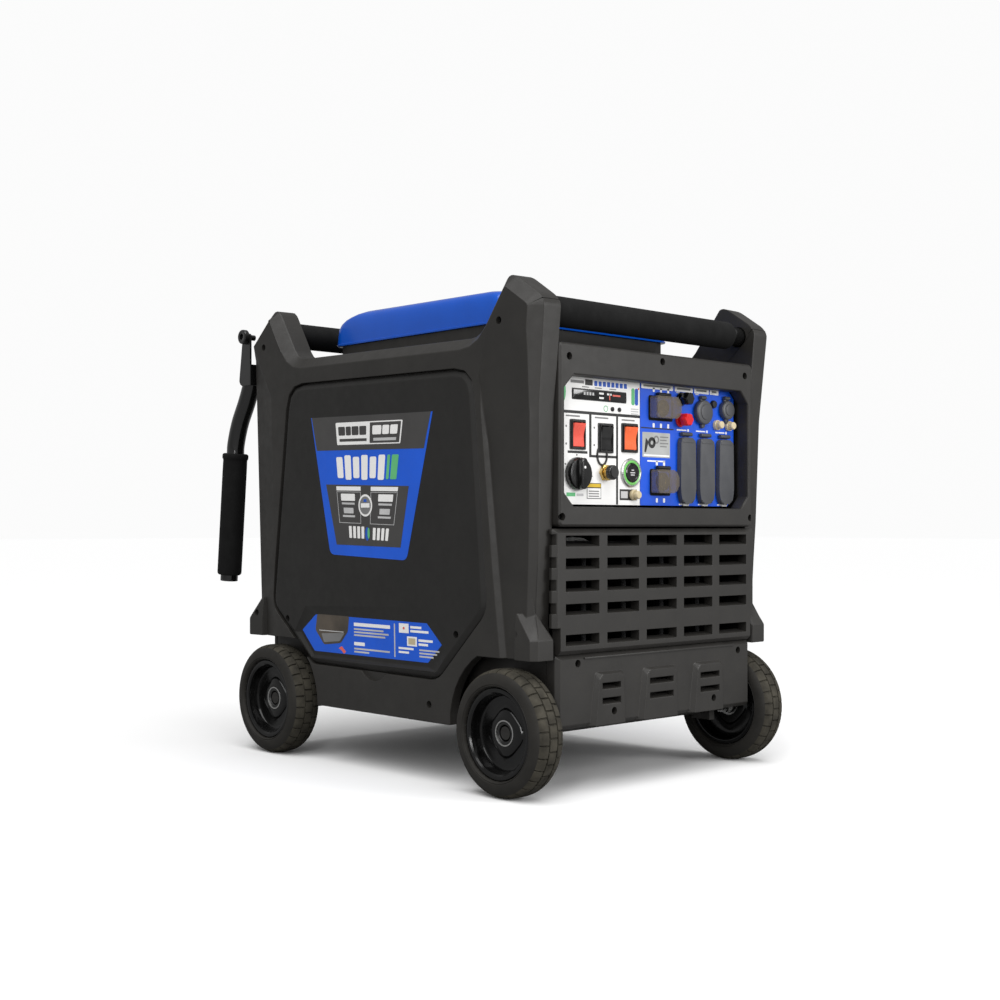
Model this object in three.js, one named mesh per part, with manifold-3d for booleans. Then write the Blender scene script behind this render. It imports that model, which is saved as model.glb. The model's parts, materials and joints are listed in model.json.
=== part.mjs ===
// Portable inverter generator on four wheels, built as separate pieces.
// Millimetres, +Z up, floor at z = 0. The control panel is at +X, the large side cover at -Y.
import * as THREE from 'three';
import { mergeVertices } from 'three/addons/utils/BufferGeometryUtils.js';
import { ConvexGeometry } from 'three/addons/geometries/ConvexGeometry.js';
import Module from 'manifold-3d';

const wasm = await Module();
wasm.setup();

// ---------- driving dimensions ----------
const GAP = 0.3;              // between pieces that touch
const FRONT_X = 295;          // face of the control bezel
const REAR_X = -292;          // rear edge of the side frames
const SIDE_Y = 225;           // outer face of a side frame, at its shoulder
const COLUMN_DEPTH = 42;      // side frame, outer face to inner face
const SHOULDER_Z = 585;       // height at which the side faces are SIDE_Y out
const LEAN = THREE.MathUtils.degToRad(1.15);
const RAIL_Z = 553;           // top of the side rails
const PEAK = 629;             // top of the rear peaks
const FRONT_PEAK = 619;
const SKIRT_Z = 75;           // bottom of the skirt between the wheels
const WELL_TOP = 163;         // top of the wheel openings
const WELL_R = 100;
const EDGE_BEVEL = 14;        // outer edge of a side frame
const INNER_Y = SIDE_Y - COLUMN_DEPTH;
const BODY_Y = INNER_Y - GAP; // half width of what stands between the side frames
const FRAME_WALL = 14;        // side frame wall behind the cover
const COVER_DEPTH = 9;        // how deep the cover sits in the frame
const COVER_GROOVE = 2.2;
const COVER_LIP = 11;

const AXLES = {               // set in from the two ends, so that x = 0 stays midway between them
  front: FRONT_X - 57.3, rear: REAR_X + 54.3,
};
const WHEEL_R = 76;
const WHEEL_Y = SIDE_Y - 14.5; // middle of a wheel
const TYRE_HALF = 22.5;
const RIM_R = 52;
const AXLE_R = 8;
const RUNNING = 0.35;         // radial gap of a turning fit
const WHEEL_FACETS = 20;

const BASE_Z = 80;            // bottom of the end covers
const PAN_Z = 84;             // bottom of the base pan
const PAN_WALL = 4;
const PAN_HEIGHT = 76;
const PAN_FRONT = FRONT_X - 22;
const PAN_REAR = REAR_X + 13;

const DECK_Z = 536;           // top of the deck under the grips
const DECK_T = 8;
const TANK = {
  rear: REAR_X + 114, front: FRONT_X - 120, half: INNER_Y - 23, seat: 571, top: 616, floor: 480,
  wall: 3, corner: 22, brow: 11,
};
const FILLER = { x: 60, y: 0, recessR: 44, recess: 20, neckR: 22, capR: 32 };

const GRIP_TUBE_R = 12.7;
const GRIP_SLEEVE_R = 18;
const FRONT_GRIP = { x: FRONT_X - 25, z: 573 };
const REAR_GRIP = { x: REAR_X + 46, z: 592 };
const GRIP_SOCKET = 8;        // how far a grip tube enters a side frame

const BEZEL = { bottom: 318, top: 534, depth: 18 };
const WINDOW = { half: INNER_Y - 8, bottom: 341, top: 498, chamfer: 17 };
const PANEL_X = FRONT_X - 20; // face of the control plates
const PANEL_T = 4;
const PANEL_SPLIT = -19.5;    // between the white plate and the blue plate
const PANEL_HALF = WINDOW.half - 7;
const PANEL_BOTTOM = 345;
const PANEL_TOP = 502;

const GRILLE = { bottom: 168, top: 316, half: INNER_Y + 7, depth: 15, columns: 5, pitchY: 71.3, slotY: 57 };
const GRILLE_ROWS = [303.2, 276.5, 250.2, 223, 187];
const SLOT_Z = 12.5;
const LOUVRE_SLANT = THREE.MathUtils.degToRad(14);
const FLARE_TOP = 200;        // the flares over the wheels stand against the grille below this

const POCKET = {              // shallow pocket for a label, low on each side cover; corners are [x, z]
  rim: [[-188, 177], [-160, 214], [104, 222], [141, 174], [116, 143], [-152, 143]],
  floor: [[-178, 177], [-143, 202], [92, 201], [123, 173], [95, 147], [-149, 147]],
  depth: 5,
};
const SCOOP = { x: -12, z: 156, r: 34, depth: 5 };
const COLUMN_RECESS = 6;      // the front column's outer strip lies this far back from the door surround
const REAR_FALL = 13;         // how far the rear column's face falls back towards its edge
const FLARE = { top: 218, brow: 187, out: 13, foot: WELL_TOP - 8 };
const VENT_BUMPS = [[-122, -70], [-36, 28], [62, 120]];
const VENT_BUMP = { top: 146, proud: 5 };
const VENT_SLOT_ROWS = [130, 112];
const REAR_SLOTS = { columns: [-100, 0, 100], rows: [130, 152, 174, 430, 452, 474], width: 74, height: 9 };
const BRACKET = { bar: 4, low: 522, high: 552 };

const HANDLE_TUBE_R = 12.75;
const HANDLE = {              // the pivot stands clear of the bracket's bar by the tube's own radius
  y: SIDE_Y - 20, x: REAR_X - GAP - BRACKET.bar - HANDLE_TUBE_R - 0.95, z: 536, tubeR: HANDLE_TUBE_R,
  bore: HANDLE_TUBE_R - 2.25, sleeveR: HANDLE_TUBE_R + 5, hang: 5.4,
};
const ELBOW = { x: HANDLE.x - 45, z: 440 };
const ARM_LENGTH = 203;       // straight run of a handle arm below its elbow
const GRIP_FROM = 14;
const GRIP_TO = 194;
const LUG_T = 3;
const PIVOT_PIN_R = 5;
const LOCK_KNOB = { x: HANDLE.x + 6, z: 592, r: 10.5, out: 8 };

const ROUND = 16;             // facets of small round pieces
const CORNER_STEPS = 3;       // facets of a rounded corner
const ROCKER_TILT = THREE.MathUtils.degToRad(9);

// ---------- colours ----------
const finish = (color, roughness, metalness = 0) =>
  new THREE.MeshStandardMaterial({ color, roughness, metalness });
const CHARCOAL = finish(0x2f2d2a, 0.6);
const COVER_BLACK = finish(0x262422, 0.65);
const FOAM = finish(0x101010, 0.9);
const GLOSS_BLACK = finish(0x0a0a0a, 0.18);
const TYRE_RUBBER = finish(0x34322d, 0.85);
const TANK_BLUE = finish(0x0046a5, 0.2, 0.1);
const PANEL_WHITE = finish(0xf0eeec, 0.4);
const PANEL_BLUE = finish(0x004bbe, 0.4);
const STEEL = finish(0x9a9a98, 0.35, 0.9);
const CAST_ALLOY = finish(0x8d8f90, 0.55, 0.8);
const COVER_GREY = finish(0x4b4c50, 0.5);
const SMOKED = finish(0x78706a, 0.15);
const RED = finish(0xe1191f, 0.35);
const ORANGE = finish(0xf05f2d, 0.3);
const CREAM = finish(0xd7c8a5, 0.4);
const BRASS = finish(0xb08d3c, 0.3, 0.9);

// ---------- solids ----------
const V = (x, y, z) => new THREE.Vector3(x, y, z);
const WELD = 1e-4;
const AXES = {
  x: new THREE.Matrix4().makeBasis(V(0, 1, 0), V(0, 0, 1), V(1, 0, 0)),
  y: new THREE.Matrix4().makeBasis(V(1, 0, 0), V(0, 0, 1), V(0, -1, 0)),
  z: new THREE.Matrix4(),
};

function signedVolume(position, index) {
  const a = V(0, 0, 0);
  const b = V(0, 0, 0);
  const c = V(0, 0, 0);
  let volume = 0;
  for (let i = 0; i < index.length; i += 3) {
    a.fromArray(position, 3 * index[i]);
    b.fromArray(position, 3 * index[i + 1]);
    c.fromArray(position, 3 * index[i + 2]);
    volume += a.dot(b.cross(c)) / 6;
  }
  return volume;
}

function solidOf(geometry) {
  const bare = geometry.index ? geometry.toNonIndexed() : geometry.clone();
  bare.deleteAttribute('normal');
  bare.deleteAttribute('uv');
  const merged = mergeVertices(bare, WELD);
  const position = new Float32Array(merged.attributes.position.array);
  const index = [];
  for (let i = 0; i < merged.index.count; i += 3) {
    const [a, b, c] = [0, 1, 2].map((k) => merged.index.getX(i + k));
    if (a !== b && b !== c && c !== a) index.push(a, b, c);
  }
  if (signedVolume(position, index) < 0) index.reverse();
  return new wasm.Manifold(
    new wasm.Mesh({ numProp: 3, vertProperties: position, triVerts: new Uint32Array(index) }));
}

function geometryOf(solid) {
  const mesh = solid.getMesh();
  const geometry = new THREE.BufferGeometry();
  geometry.setAttribute('position', new THREE.BufferAttribute(new Float32Array(mesh.vertProperties), 3));
  geometry.setIndex(new THREE.BufferAttribute(new Uint32Array(mesh.triVerts), 1));
  return geometry;
}

const join = (first, ...rest) => rest.reduce((sum, solid) => sum.add(solid), first);
const cut = (first, ...rest) => rest.reduce((left, solid) => left.subtract(solid), first);

function box(x0, x1, y0, y1, z0, z1) {
  const geometry = new THREE.BoxGeometry(x1 - x0, y1 - y0, z1 - z0);
  return solidOf(geometry.translate((x0 + x1) / 2, (y0 + y1) / 2, (z0 + z1) / 2));
}

// Solid of revolution about an axis through centre: profile points are [radius, distance along the axis].
function turned(axis, profile, centre, facets = ROUND) {
  const points = profile.map(([r, a]) => new THREE.Vector2(r, a));
  const geometry = new THREE.LatheGeometry(points, facets);
  if (axis === 'x') geometry.rotateZ(-Math.PI / 2);
  if (axis === 'z') geometry.rotateX(Math.PI / 2);
  return solidOf(geometry.translate(...centre));
}

const rod = (axis, r, from, to, centre, facets = ROUND) =>
  turned(axis, [[0, from], [r, from], [r, to], [0, to]], centre, facets);

const ring = (axis, inner, outer, from, to, centre, facets = ROUND) =>
  turned(axis, [[inner, from], [outer, from], [outer, to], [inner, to], [inner, from]], centre, facets);

// A closed outline whose corners, given as [u, v, radius], are rounded.
function outline(corners) {
  const shape = new THREE.Shape();
  corners.forEach(([u, v, radius = 0], i) => {
    const at = new THREE.Vector2(u, v);
    const back = new THREE.Vector2(...corners.at(i - 1).slice(0, 2)).sub(at);
    const next = new THREE.Vector2(...corners[(i + 1) % corners.length].slice(0, 2)).sub(at);
    const reach = Math.min(radius, back.length() / 2.1, next.length() / 2.1);
    const from = at.clone().add(back.setLength(reach));
    const to = at.clone().add(next.setLength(reach));
    if (i === 0) shape.moveTo(from.x, from.y);
    else shape.lineTo(from.x, from.y);
    if (reach > 0) shape.quadraticCurveTo(at.x, at.y, to.x, to.y);
  });
  shape.closePath();
  return shape;
}

// Moves every edge of a corner list (counter-clockwise) inwards by distance.
function inset(corners, distance) {
  return corners.map(([u, v, radius = 0], i) => {
    const before = corners.at(i - 1);
    const after = corners[(i + 1) % corners.length];
    const d0 = new THREE.Vector2(u - before[0], v - before[1]).normalize();
    const d1 = new THREE.Vector2(after[0] - u, after[1] - v).normalize();
    const turn = 1 + d0.dot(d1);
    const shift = new THREE.Vector2(-d0.y - d1.y, d0.x + d1.x).multiplyScalar(distance / turn);
    const convex = d0.cross(d1) > 0;
    const rounding = radius > 0 ? Math.max(radius + (convex ? -distance : distance), 0.5) : 0;
    return [u + shift.x, v + shift.y, rounding];
  });
}

// Extrudes a corner list along an axis. The bevel is on the -Y, +X or +Z end, or on both ends.
function prism(axis, corners, from, to, bevel = 0, bevelDepth = bevel, bothEnds = false) {
  const depth = to - from;
  const levels = [0, ...(bevel > 0 && bothEnds ? [bevelDepth] : []),
    ...(bevel > 0 ? [depth - bevelDepth] : []), depth];
  const last = levels.length - 1;
  const geometry = new THREE.ExtrudeGeometry(outline(corners),
    { depth: last, steps: last, bevelEnabled: false, curveSegments: CORNER_STEPS });
  const wide = outline(corners).getPoints(CORNER_STEPS);
  const narrow = outline(inset(corners, bevel)).getPoints(CORNER_STEPS);
  const position = geometry.attributes.position;
  for (let i = 0; i < position.count; i += 1) {
    const level = Math.round(position.getZ(i));
    if (bevel > 0 && (level === last || (bothEnds && level === 0))) {
      const at = new THREE.Vector2(position.getX(i), position.getY(i));
      const k = wide.findIndex((point) => point.distanceTo(at) < WELD);
      position.setXY(i, narrow[k].x, narrow[k].y);
    }
    position.setZ(i, levels[level]);
  }
  geometry.applyMatrix4(AXES[axis]);
  const start = axis === 'y' ? to : from;
  const offset = { x: [start, 0, 0], y: [0, start, 0], z: [0, 0, start] }[axis];
  return solidOf(geometry.translate(...offset));
}

const hull = (points) => solidOf(new ConvexGeometry(points.map((p) => V(...p))));

const rect = (u0, u1, v0, v1, radius = 0) =>
  [[u0, v0, radius], [u1, v0, radius], [u1, v1, radius], [u0, v1, radius]];

function leaned(solid) {
  const geometry = geometryOf(solid).translate(0, 0, -SHOULDER_Z).rotateX(LEAN);
  return solidOf(geometry.translate(0, 0, SHOULDER_Z));
}

// ---------- scene graph ----------
const generator = new THREE.Group();

function place(name, solid, material, pivot = [0, 0, 0]) {
  const mesh = new THREE.Mesh(geometryOf(solid), material);
  mesh.name = name;
  mesh.position.set(...pivot);
  generator.add(mesh);
  return mesh;
}

function placeMirrored(name, solid, material, pivot = [0, 0, 0]) {
  const geometry = geometryOf(solid).scale(1, -1, 1);
  return place(name, solidOf(geometry), material, [pivot[0], -pivot[1], pivot[2]]);
}

function placePair(name, solid, material, pivot) {
  place(`${name}_left`, solid, material, pivot);
  placeMirrored(`${name}_right`, solid, material, pivot);
}

// ---------- side frames ----------
const BELOW = SKIRT_Z - 30;
const FRAME_OUTLINE = [
  [REAR_X + 8, BELOW], [FRONT_X - 25, BELOW], [FRONT_X - 18, 210], [FRONT_X - 11.5, 327],
  [FRONT_X - 8, 464], [FRONT_X + 3.5, SHOULDER_Z - 4, 5], [FRONT_X - 4, SHOULDER_Z + 6, 8],
  [FRONT_X - 42, FRONT_PEAK - 3, 10], [FRONT_X - 54, FRONT_PEAK, 8], [FRONT_X - 107, RAIL_Z - 3, 16],
  [REAR_X + 105, RAIL_Z + 2, 16], [REAR_X + 62, PEAK - 5, 8], [REAR_X + 51, PEAK, 8],
  [REAR_X, SHOULDER_Z + 2, 6],
];
const DOOR = [
  [REAR_X + 142, 135, 12], [FRONT_X - 180, 132.5, 14], [FRONT_X - 87, 222, 16],
  [FRONT_X - 106, RAIL_Z - 39, 34], [REAR_X + 97, RAIL_Z - 33, 34], [REAR_X + 49, 212, 16],
];

function frontRecess() {
  const [highX, highZ] = [FRONT_X - 93, 492];
  const [lowX, lowZ] = [FRONT_X - 64, 150];
  const beyond = FRONT_X + 20;
  const top = SHOULDER_Z - 12;
  const floor = -SIDE_Y + COLUMN_RECESS;
  const open = -SIDE_Y - 5;
  return hull([
    [highX, -SIDE_Y, highZ], [lowX, -SIDE_Y, lowZ], [beyond, -SIDE_Y, top],
    [highX + COLUMN_RECESS + 1, floor, highZ - 70], [lowX + COLUMN_RECESS, floor, lowZ],
    [beyond, floor, highZ - 20], [beyond, floor, lowZ], [beyond, open, lowZ], [beyond, open, top],
    [lowX - 6, open, lowZ], [highX - 6, open, highZ + 5],
  ]);
}

function rearRecess() {
  const crease = [[REAR_X + 8, SHOULDER_Z + 6], [REAR_X + 56, 505], [REAR_X + 60, 150]];
  const edge = [[REAR_X - 20, SHOULDER_Z + 6], [REAR_X - 20, 150]];
  const open = -SIDE_Y - 9;
  return hull([
    ...crease.flatMap(([x, z]) => [[x, -SIDE_Y, z], [x, open, z]]),
    ...edge.flatMap(([x, z]) => [[x, -SIDE_Y + REAR_FALL, z], [x, open, z]]),
  ]);
}

function flare(x, towards) {
  const at = (d) => x + towards * d;
  const { top, brow, out, foot } = FLARE;
  const shelf = (z) => [[at(-22), -SIDE_Y + 6, z], [at(6), -SIDE_Y + 4, z], [at(out), -SIDE_Y + 11, z],
    [at(out), -INNER_Y - 6, z]];
  return hull([
    [at(-22), -SIDE_Y + 9, top], [at(-1), -SIDE_Y + 21, top - 2], [at(-1), -INNER_Y, top - 22],
    ...shelf(brow), ...shelf(foot), [at(-30), -INNER_Y, foot], [at(-30), -INNER_Y, FLARE_TOP],
  ]);
}

function wheelWell(side) {
  const axle = side > 0 ? AXLES.front : AXLES.rear;
  const [x0, x1] = [axle, axle + side * 130].sort((a, b) => a - b);
  const arch = rod('y', WELL_R, -SIDE_Y - 20, -INNER_Y + 40, [axle, 0, WHEEL_R], 40);
  const flat = box(axle - WELL_R - 9, axle + WELL_R + 9,
    -SIDE_Y - 30, -INNER_Y + 50, WHEEL_R - 120, WELL_TOP);
  return join(arch.intersect(flat), box(x0, x1, -SIDE_Y - 20, -INNER_Y + 40, 0, WELL_TOP));
}

function sideFrame() {
  const skin = prism('y', FRAME_OUTLINE, -SIDE_Y, -INNER_Y + 20, EDGE_BEVEL);
  const hollow = prism('y', [
    [REAR_X + 42, SKIRT_Z + 14], [FRONT_X - 60, SKIRT_Z + 14], [FRONT_X - 60, 250],
    [FRONT_X - 74, 516], [REAR_X + 70, 516], [REAR_X + 42, 300],
  ], -SIDE_Y + FRAME_WALL, -INNER_Y + 60);
  const coverSeat = prism('y', DOOR, -SIDE_Y - 5, -SIDE_Y + COVER_DEPTH);
  const coverHole = prism('y', inset(DOOR, COVER_LIP), -SIDE_Y - 5, -INNER_Y + 60);
  const scoop = rod('y', SCOOP.r, -SIDE_Y - 5, -SIDE_Y + SCOOP.depth, [SCOOP.x, 0, SCOOP.z], 32);
  const column = leaned(cut(skin, hollow, coverSeat, coverHole, scoop, frontRecess(), rearRecess()));
  const sockets = [FRONT_GRIP, REAR_GRIP].map(({ x, z }) =>
    rod('y', GRIP_TUBE_R + GAP + 0.3, -INNER_Y - GRIP_SOCKET - GAP, -INNER_Y + 5, [x, 0, z]));
  return cut(join(column, flare(FRONT_X - 17, 1), flare(REAR_X + 4, -1)),
    wheelWell(1), wheelWell(-1),
    box(REAR_X - 60, FRONT_X + 60, -SIDE_Y - 20, -INNER_Y + 80, BELOW - 60, SKIRT_Z),
    box(REAR_X - 60, FRONT_X + 60, -INNER_Y, -INNER_Y + 90, 0, PEAK + 40), ...sockets);
}
placePair('side_frame', sideFrame(), CHARCOAL);

function sideCover() {
  const back = -SIDE_Y + COVER_DEPTH - GAP;
  const face = -SIDE_Y - 0.5;
  const panel = prism('y', inset(DOOR, COVER_GROOVE), face, back, 7, 4);
  const pocket = hull([
    ...POCKET.rim.flatMap(([x, z]) => [[x, face, z], [x, face - 3, z]]),
    ...POCKET.floor.map(([x, z]) => [x, face + POCKET.depth, z]),
  ]);
  return leaned(cut(panel, pocket));
}
placePair('side_cover', sideCover(), COVER_BLACK);

// ---------- control end ----------
const WINDOW_CORNERS = (grow) => [
  [-WINDOW.half + WINDOW.chamfer, WINDOW.bottom - grow], [WINDOW.half - WINDOW.chamfer, WINDOW.bottom - grow],
  [WINDOW.half + grow, WINDOW.bottom + WINDOW.chamfer], [WINDOW.half + grow, WINDOW.top - WINDOW.chamfer],
  [WINDOW.half - WINDOW.chamfer, WINDOW.top + grow], [-WINDOW.half + WINDOW.chamfer, WINDOW.top + grow],
  [-WINDOW.half - grow, WINDOW.top - WINDOW.chamfer], [-WINDOW.half - grow, WINDOW.bottom + WINDOW.chamfer],
];

function controlBezel() {
  const back = FRONT_X - BEZEL.depth;
  const plate = prism('x', rect(-BODY_Y, BODY_Y, BEZEL.bottom + GAP, BEZEL.top, 6), back, FRONT_X, 2.5);
  return cut(plate, prism('x', WINDOW_CORNERS(-1), back - 5, FRONT_X + 5),
    hull([...WINDOW_CORNERS(0).map(([y, z]) => [FRONT_X + 0.1, y, z]),
      ...WINDOW_CORNERS(-4).map(([y, z]) => [FRONT_X - 9, y, z])]));
}
place('control_bezel', controlBezel(), CHARCOAL);

const grilleColumns = Array.from({ length: GRILLE.columns }, (_, i) =>
  (i - (GRILLE.columns - 1) / 2) * GRILLE.pitchY);

// A slot whose floor slopes down towards the outside.
function slantedSlot(x, y, z, width, height, slant) {
  const geometry = new THREE.BoxGeometry(70, width, height);
  return solidOf(geometry.rotateY(slant).translate(x, y, z));
}

function louverGrille() {
  const back = FRONT_X - GRILLE.depth;
  const wide = prism('x', rect(-GRILLE.half, GRILLE.half, GRILLE.bottom, GRILLE.top, 3),
    back, FRONT_X - 1, 5);
  const behindColumns = [-1, 1].map((side) => {
    const [y0, y1] = [side * (BODY_Y), side * (SIDE_Y + 20)].sort((a, b) => a - b);
    return box(back - 20, FRONT_X - 10, y0, y1, 0, PEAK);
  });
  const slots = grilleColumns.flatMap((y) => GRILLE_ROWS.map((z) =>
    slantedSlot(FRONT_X - 8, y, z, GRILLE.slotY, SLOT_Z, LOUVRE_SLANT)));
  const notches = [-1, 1].flatMap((side) => GRILLE_ROWS.slice(0, 4).map((z) => {
    const [y0, y1] = [side * (GRILLE.half - 4), side * (GRILLE.half + 9)].sort((a, b) => a - b);
    return box(FRONT_X - 30, FRONT_X + 9, y0, y1, z - SLOT_Z / 2, z + SLOT_Z / 2);
  }));
  const flareRelief = [-1, 1].map((side) => {
    const [y0, y1] = [side * (INNER_Y - 3), side * SIDE_Y].sort((a, b) => a - b);
    return box(back - 20, FRONT_X + 9, y0, y1, 0, FLARE_TOP);
  });
  return cut(wide, ...behindColumns, ...slots, ...notches, ...flareRelief);
}
place('louver_grille', louverGrille(), CHARCOAL);

const VENT_TOP = GRILLE.bottom - GAP;
const VENT_X = FRONT_X - 4;

function ventBump(y0, y1) {
  const { top } = VENT_BUMP;
  const low = BASE_Z + 1;
  const proud = VENT_X + VENT_BUMP.proud;
  return hull([
    [VENT_X - 3, y0 - 8, low], [VENT_X - 3, y1 + 2, low], [proud, y0, low], [proud, y1, low],
    [proud, y0 + 6, top - 10], [proud, y1 - 2, top - 8], [VENT_X - 3, y0 + 2, top],
    [VENT_X - 3, y1, top], [proud, y0 + 12, top - 4], [proud, y1 - 8, top - 4],
  ]);
}

function lowerVentCover() {
  const plate = prism('x', rect(-BODY_Y, BODY_Y, BASE_Z, VENT_TOP, 3), PAN_FRONT + GAP, VENT_X, 5);
  const raised = join(plate, ...VENT_BUMPS.map(([y0, y1]) => ventBump(y0, y1)));
  const slots = VENT_BUMPS.flatMap(([y0, y1]) => VENT_SLOT_ROWS.map((z) =>
    slantedSlot(VENT_X - 4, (y0 + y1) / 2 + 2, z, y1 - y0 - 20, 7, LOUVRE_SLANT)));
  const inner = BODY_Y - 12;
  const hollow = box(PAN_FRONT - 40, VENT_X - 8, -inner, inner, BASE_Z + 12, VENT_TOP - 10);
  return cut(raised, hollow, ...slots);
}
place('lower_vent_cover', lowerVentCover(), CHARCOAL);

// ---------- control plates ----------
const PLATE_BACK = PANEL_X - PANEL_T;
const rockers = [
  { name: 'engine_switch', y: -132.5, z: 428.5, width: 21, material: RED },
  { name: 'battery_switch', y: -83.5, z: 426, width: 21, material: GLOSS_BLACK },
  { name: 'economy_switch', y: -40, z: 428, width: 24, material: ORANGE },
];
const START = { y: -38, z: 385, r: 12, travel: 3 };
const cornerCut = WINDOW.chamfer - 3;

function enginePlate() {
  const plate = prism('x', [
    [-PANEL_HALF + cornerCut, PANEL_BOTTOM], [PANEL_SPLIT - GAP, PANEL_BOTTOM],
    [PANEL_SPLIT - GAP, PANEL_TOP], [-PANEL_HALF + cornerCut, PANEL_TOP],
    [-PANEL_HALF, PANEL_TOP - cornerCut], [-PANEL_HALF, PANEL_BOTTOM + cornerCut],
  ], PLATE_BACK, PANEL_X);
  const holes = rockers.map(({ y, z, width }) =>
    box(PLATE_BACK - 5, PANEL_X + 5, y - width / 2 - 0.6, y + width / 2 + 0.6, z - 16, z + 16));
  return cut(plate, ...holes, rod('x', START.r + 0.6, -20, 20, [PANEL_X, START.y, START.z]));
}
place('engine_faceplate', enginePlate(), PANEL_WHITE);

place('outlet_faceplate', prism('x', [
  [PANEL_SPLIT, PANEL_BOTTOM], [PANEL_HALF - cornerCut, PANEL_BOTTOM],
  [PANEL_HALF, PANEL_BOTTOM + cornerCut], [PANEL_HALF, PANEL_TOP - cornerCut],
  [PANEL_HALF - cornerCut, PANEL_TOP], [PANEL_SPLIT, PANEL_TOP],
], PLATE_BACK, PANEL_X), PANEL_BLUE);

rockers.forEach(({ name, y, z, width, material }) => {
  const body = prism('y', [[6.5, 14.5], [3.5, 0], [6.5, -14.5], [-5, -12], [-5, 12]].reverse(),
    -width / 2, width / 2);
  place(name, body, material, [PANEL_X + 0.5, y, z]).rotation.y = ROCKER_TILT;
});

place('start_button', rod('x', START.r, -8, 5, [0, 0, 0]), GLOSS_BLACK, [PANEL_X, START.y, START.z]);

const SELECTOR = { y: -133.4, z: 381.5, r: 20 };
place('selector_knob', join(
  turned('x', [[0, GAP], [SELECTOR.r, GAP], [SELECTOR.r - 1.5, 8], [0, 8]], [0, 0, 0], 28),
  prism('x', rect(-4.5, 4.5, -17.5, 17.5, 4), 7, 17, 1.5),
), GLOSS_BLACK, [PANEL_X, SELECTOR.y, SELECTOR.z]);

const GAS = { y: -84, z: 384 };
place('gas_inlet', join(
  rod('x', 11, GAP, 4, [0, 0, 0], 6), rod('x', 7.5, 3, 9, [0, 0, 0]),
), BRASS, [PANEL_X, GAS.y, GAS.z]);
place('gas_inlet_cap', join(
  rod('x', 9, 9 + GAP, 15, [0, 0, 0]), rod('x', 7.5, 14, 17, [0, 0, 0]),
), GLOSS_BLACK, [PANEL_X, GAS.y, GAS.z]);

// A flap hangs from a hinge barrel at its top edge and lies over the plate.
const HINGE = { r: 2.6, x: 3.2, drop: 3.2 };
function flap(body, width) {
  return join(body, rod('y', HINGE.r, -width / 2, width / 2, [0, 0, 0], 10));
}

function squareFlap(width, height, thick, radius) {
  const low = -HINGE.drop - height;
  const back = GAP - HINGE.x;
  const lid = prism('x', rect(-width / 2, width / 2, low, -HINGE.drop + 2, radius), back, back + thick, 3);
  const inner = width / 2 - 5;
  const hollow = box(back - 5, back + thick - 3, -inner, inner, low + 6, -HINGE.drop - 4);
  return flap(cut(lid, hollow), width * 0.5);
}

function roundFlap(r, thick) {
  const back = GAP - HINGE.x;
  const face = back + thick;
  const profile = [[0, back], [r, back], [r, face - 1.5], [r - 1.5, face], [0, face]];
  const lid = turned('x', profile, [0, 0, -HINGE.drop - r], 24);
  return flap(join(lid, box(back, back + 3, -5, 5, -HINGE.drop - 4, 0.5)), 10);
}

const placeFlap = (name, solid, material, y, top) =>
  place(name, solid, material, [PANEL_X + HINGE.x, y, top + HINGE.drop]);

placeFlap('locking_outlet_cover_upper', squareFlap(47, 27, 13, 6), SMOKED, 22, 482);
placeFlap('locking_outlet_cover_lower', squareFlap(40, 29, 13, 6), SMOKED, 21, 389.5);
const DUPLEX = { width: 35, height: 86, top: 434, ys: [66.5, 105, 145] };
const duplexLid = squareFlap(DUPLEX.width, DUPLEX.height, 9, 8);
DUPLEX.ys.forEach((y, i) => placeFlap(`duplex_cover_${i + 1}`, duplexLid, COVER_GREY, y, DUPLEX.top));
placeFlap('dc_socket_cap', roundFlap(16, 9), COVER_GREY, 100, 483);
placeFlap('usb_socket_cap', roundFlap(12.5, 9), COVER_GREY, 149, 485);

function terminal() {
  const base = rod('x', 9, GAP, 3, [0, 0, 0]);
  const stem = rod('x', 5, 2, 7, [0, 0, 0]);
  return join(base, stem, rod('x', 8.5, 6, 17, [0, 0, 0], 8));
}
place('terminal_red', terminal(), RED, [PANEL_X, 57, 455]);
place('terminal_black', terminal(), GLOSS_BLACK, [PANEL_X, 59, 482]);

const breakers = [[-33, 357.6], [131, 452], [156, 452]];
breakers.forEach(([y, z], i) => place(`breaker_button_${i + 1}`,
  join(rod('x', 6.5, GAP, 5, [0, 0, 0]), rod('x', 5, 4, 11, [0, 0, 0])), CREAM, [PANEL_X, y, z]));

// ---------- rear end ----------
const REAR_PANEL = { front: PAN_REAR - GAP, back: REAR_X + 2 };
const OUTLET = { y: 70, z: 300, r: 24 };

function rearPanel() {
  const { front, back } = REAR_PANEL;
  const plate = prism('x', rect(-BODY_Y, BODY_Y, BASE_Z, DECK_Z, 4), back, front, 3, 3, true);
  const { columns, rows, width, height } = REAR_SLOTS;
  const slots = columns.flatMap((y) => rows.map((z) =>
    slantedSlot((front + back) / 2, y, z, width, height, -LOUVRE_SLANT)));
  const exhaust = rod('x', OUTLET.r + 6, -60, 60, [back, OUTLET.y, OUTLET.z], 28);
  return cut(plate, ...slots, exhaust);
}
place('rear_panel', rearPanel(), CHARCOAL);

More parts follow.
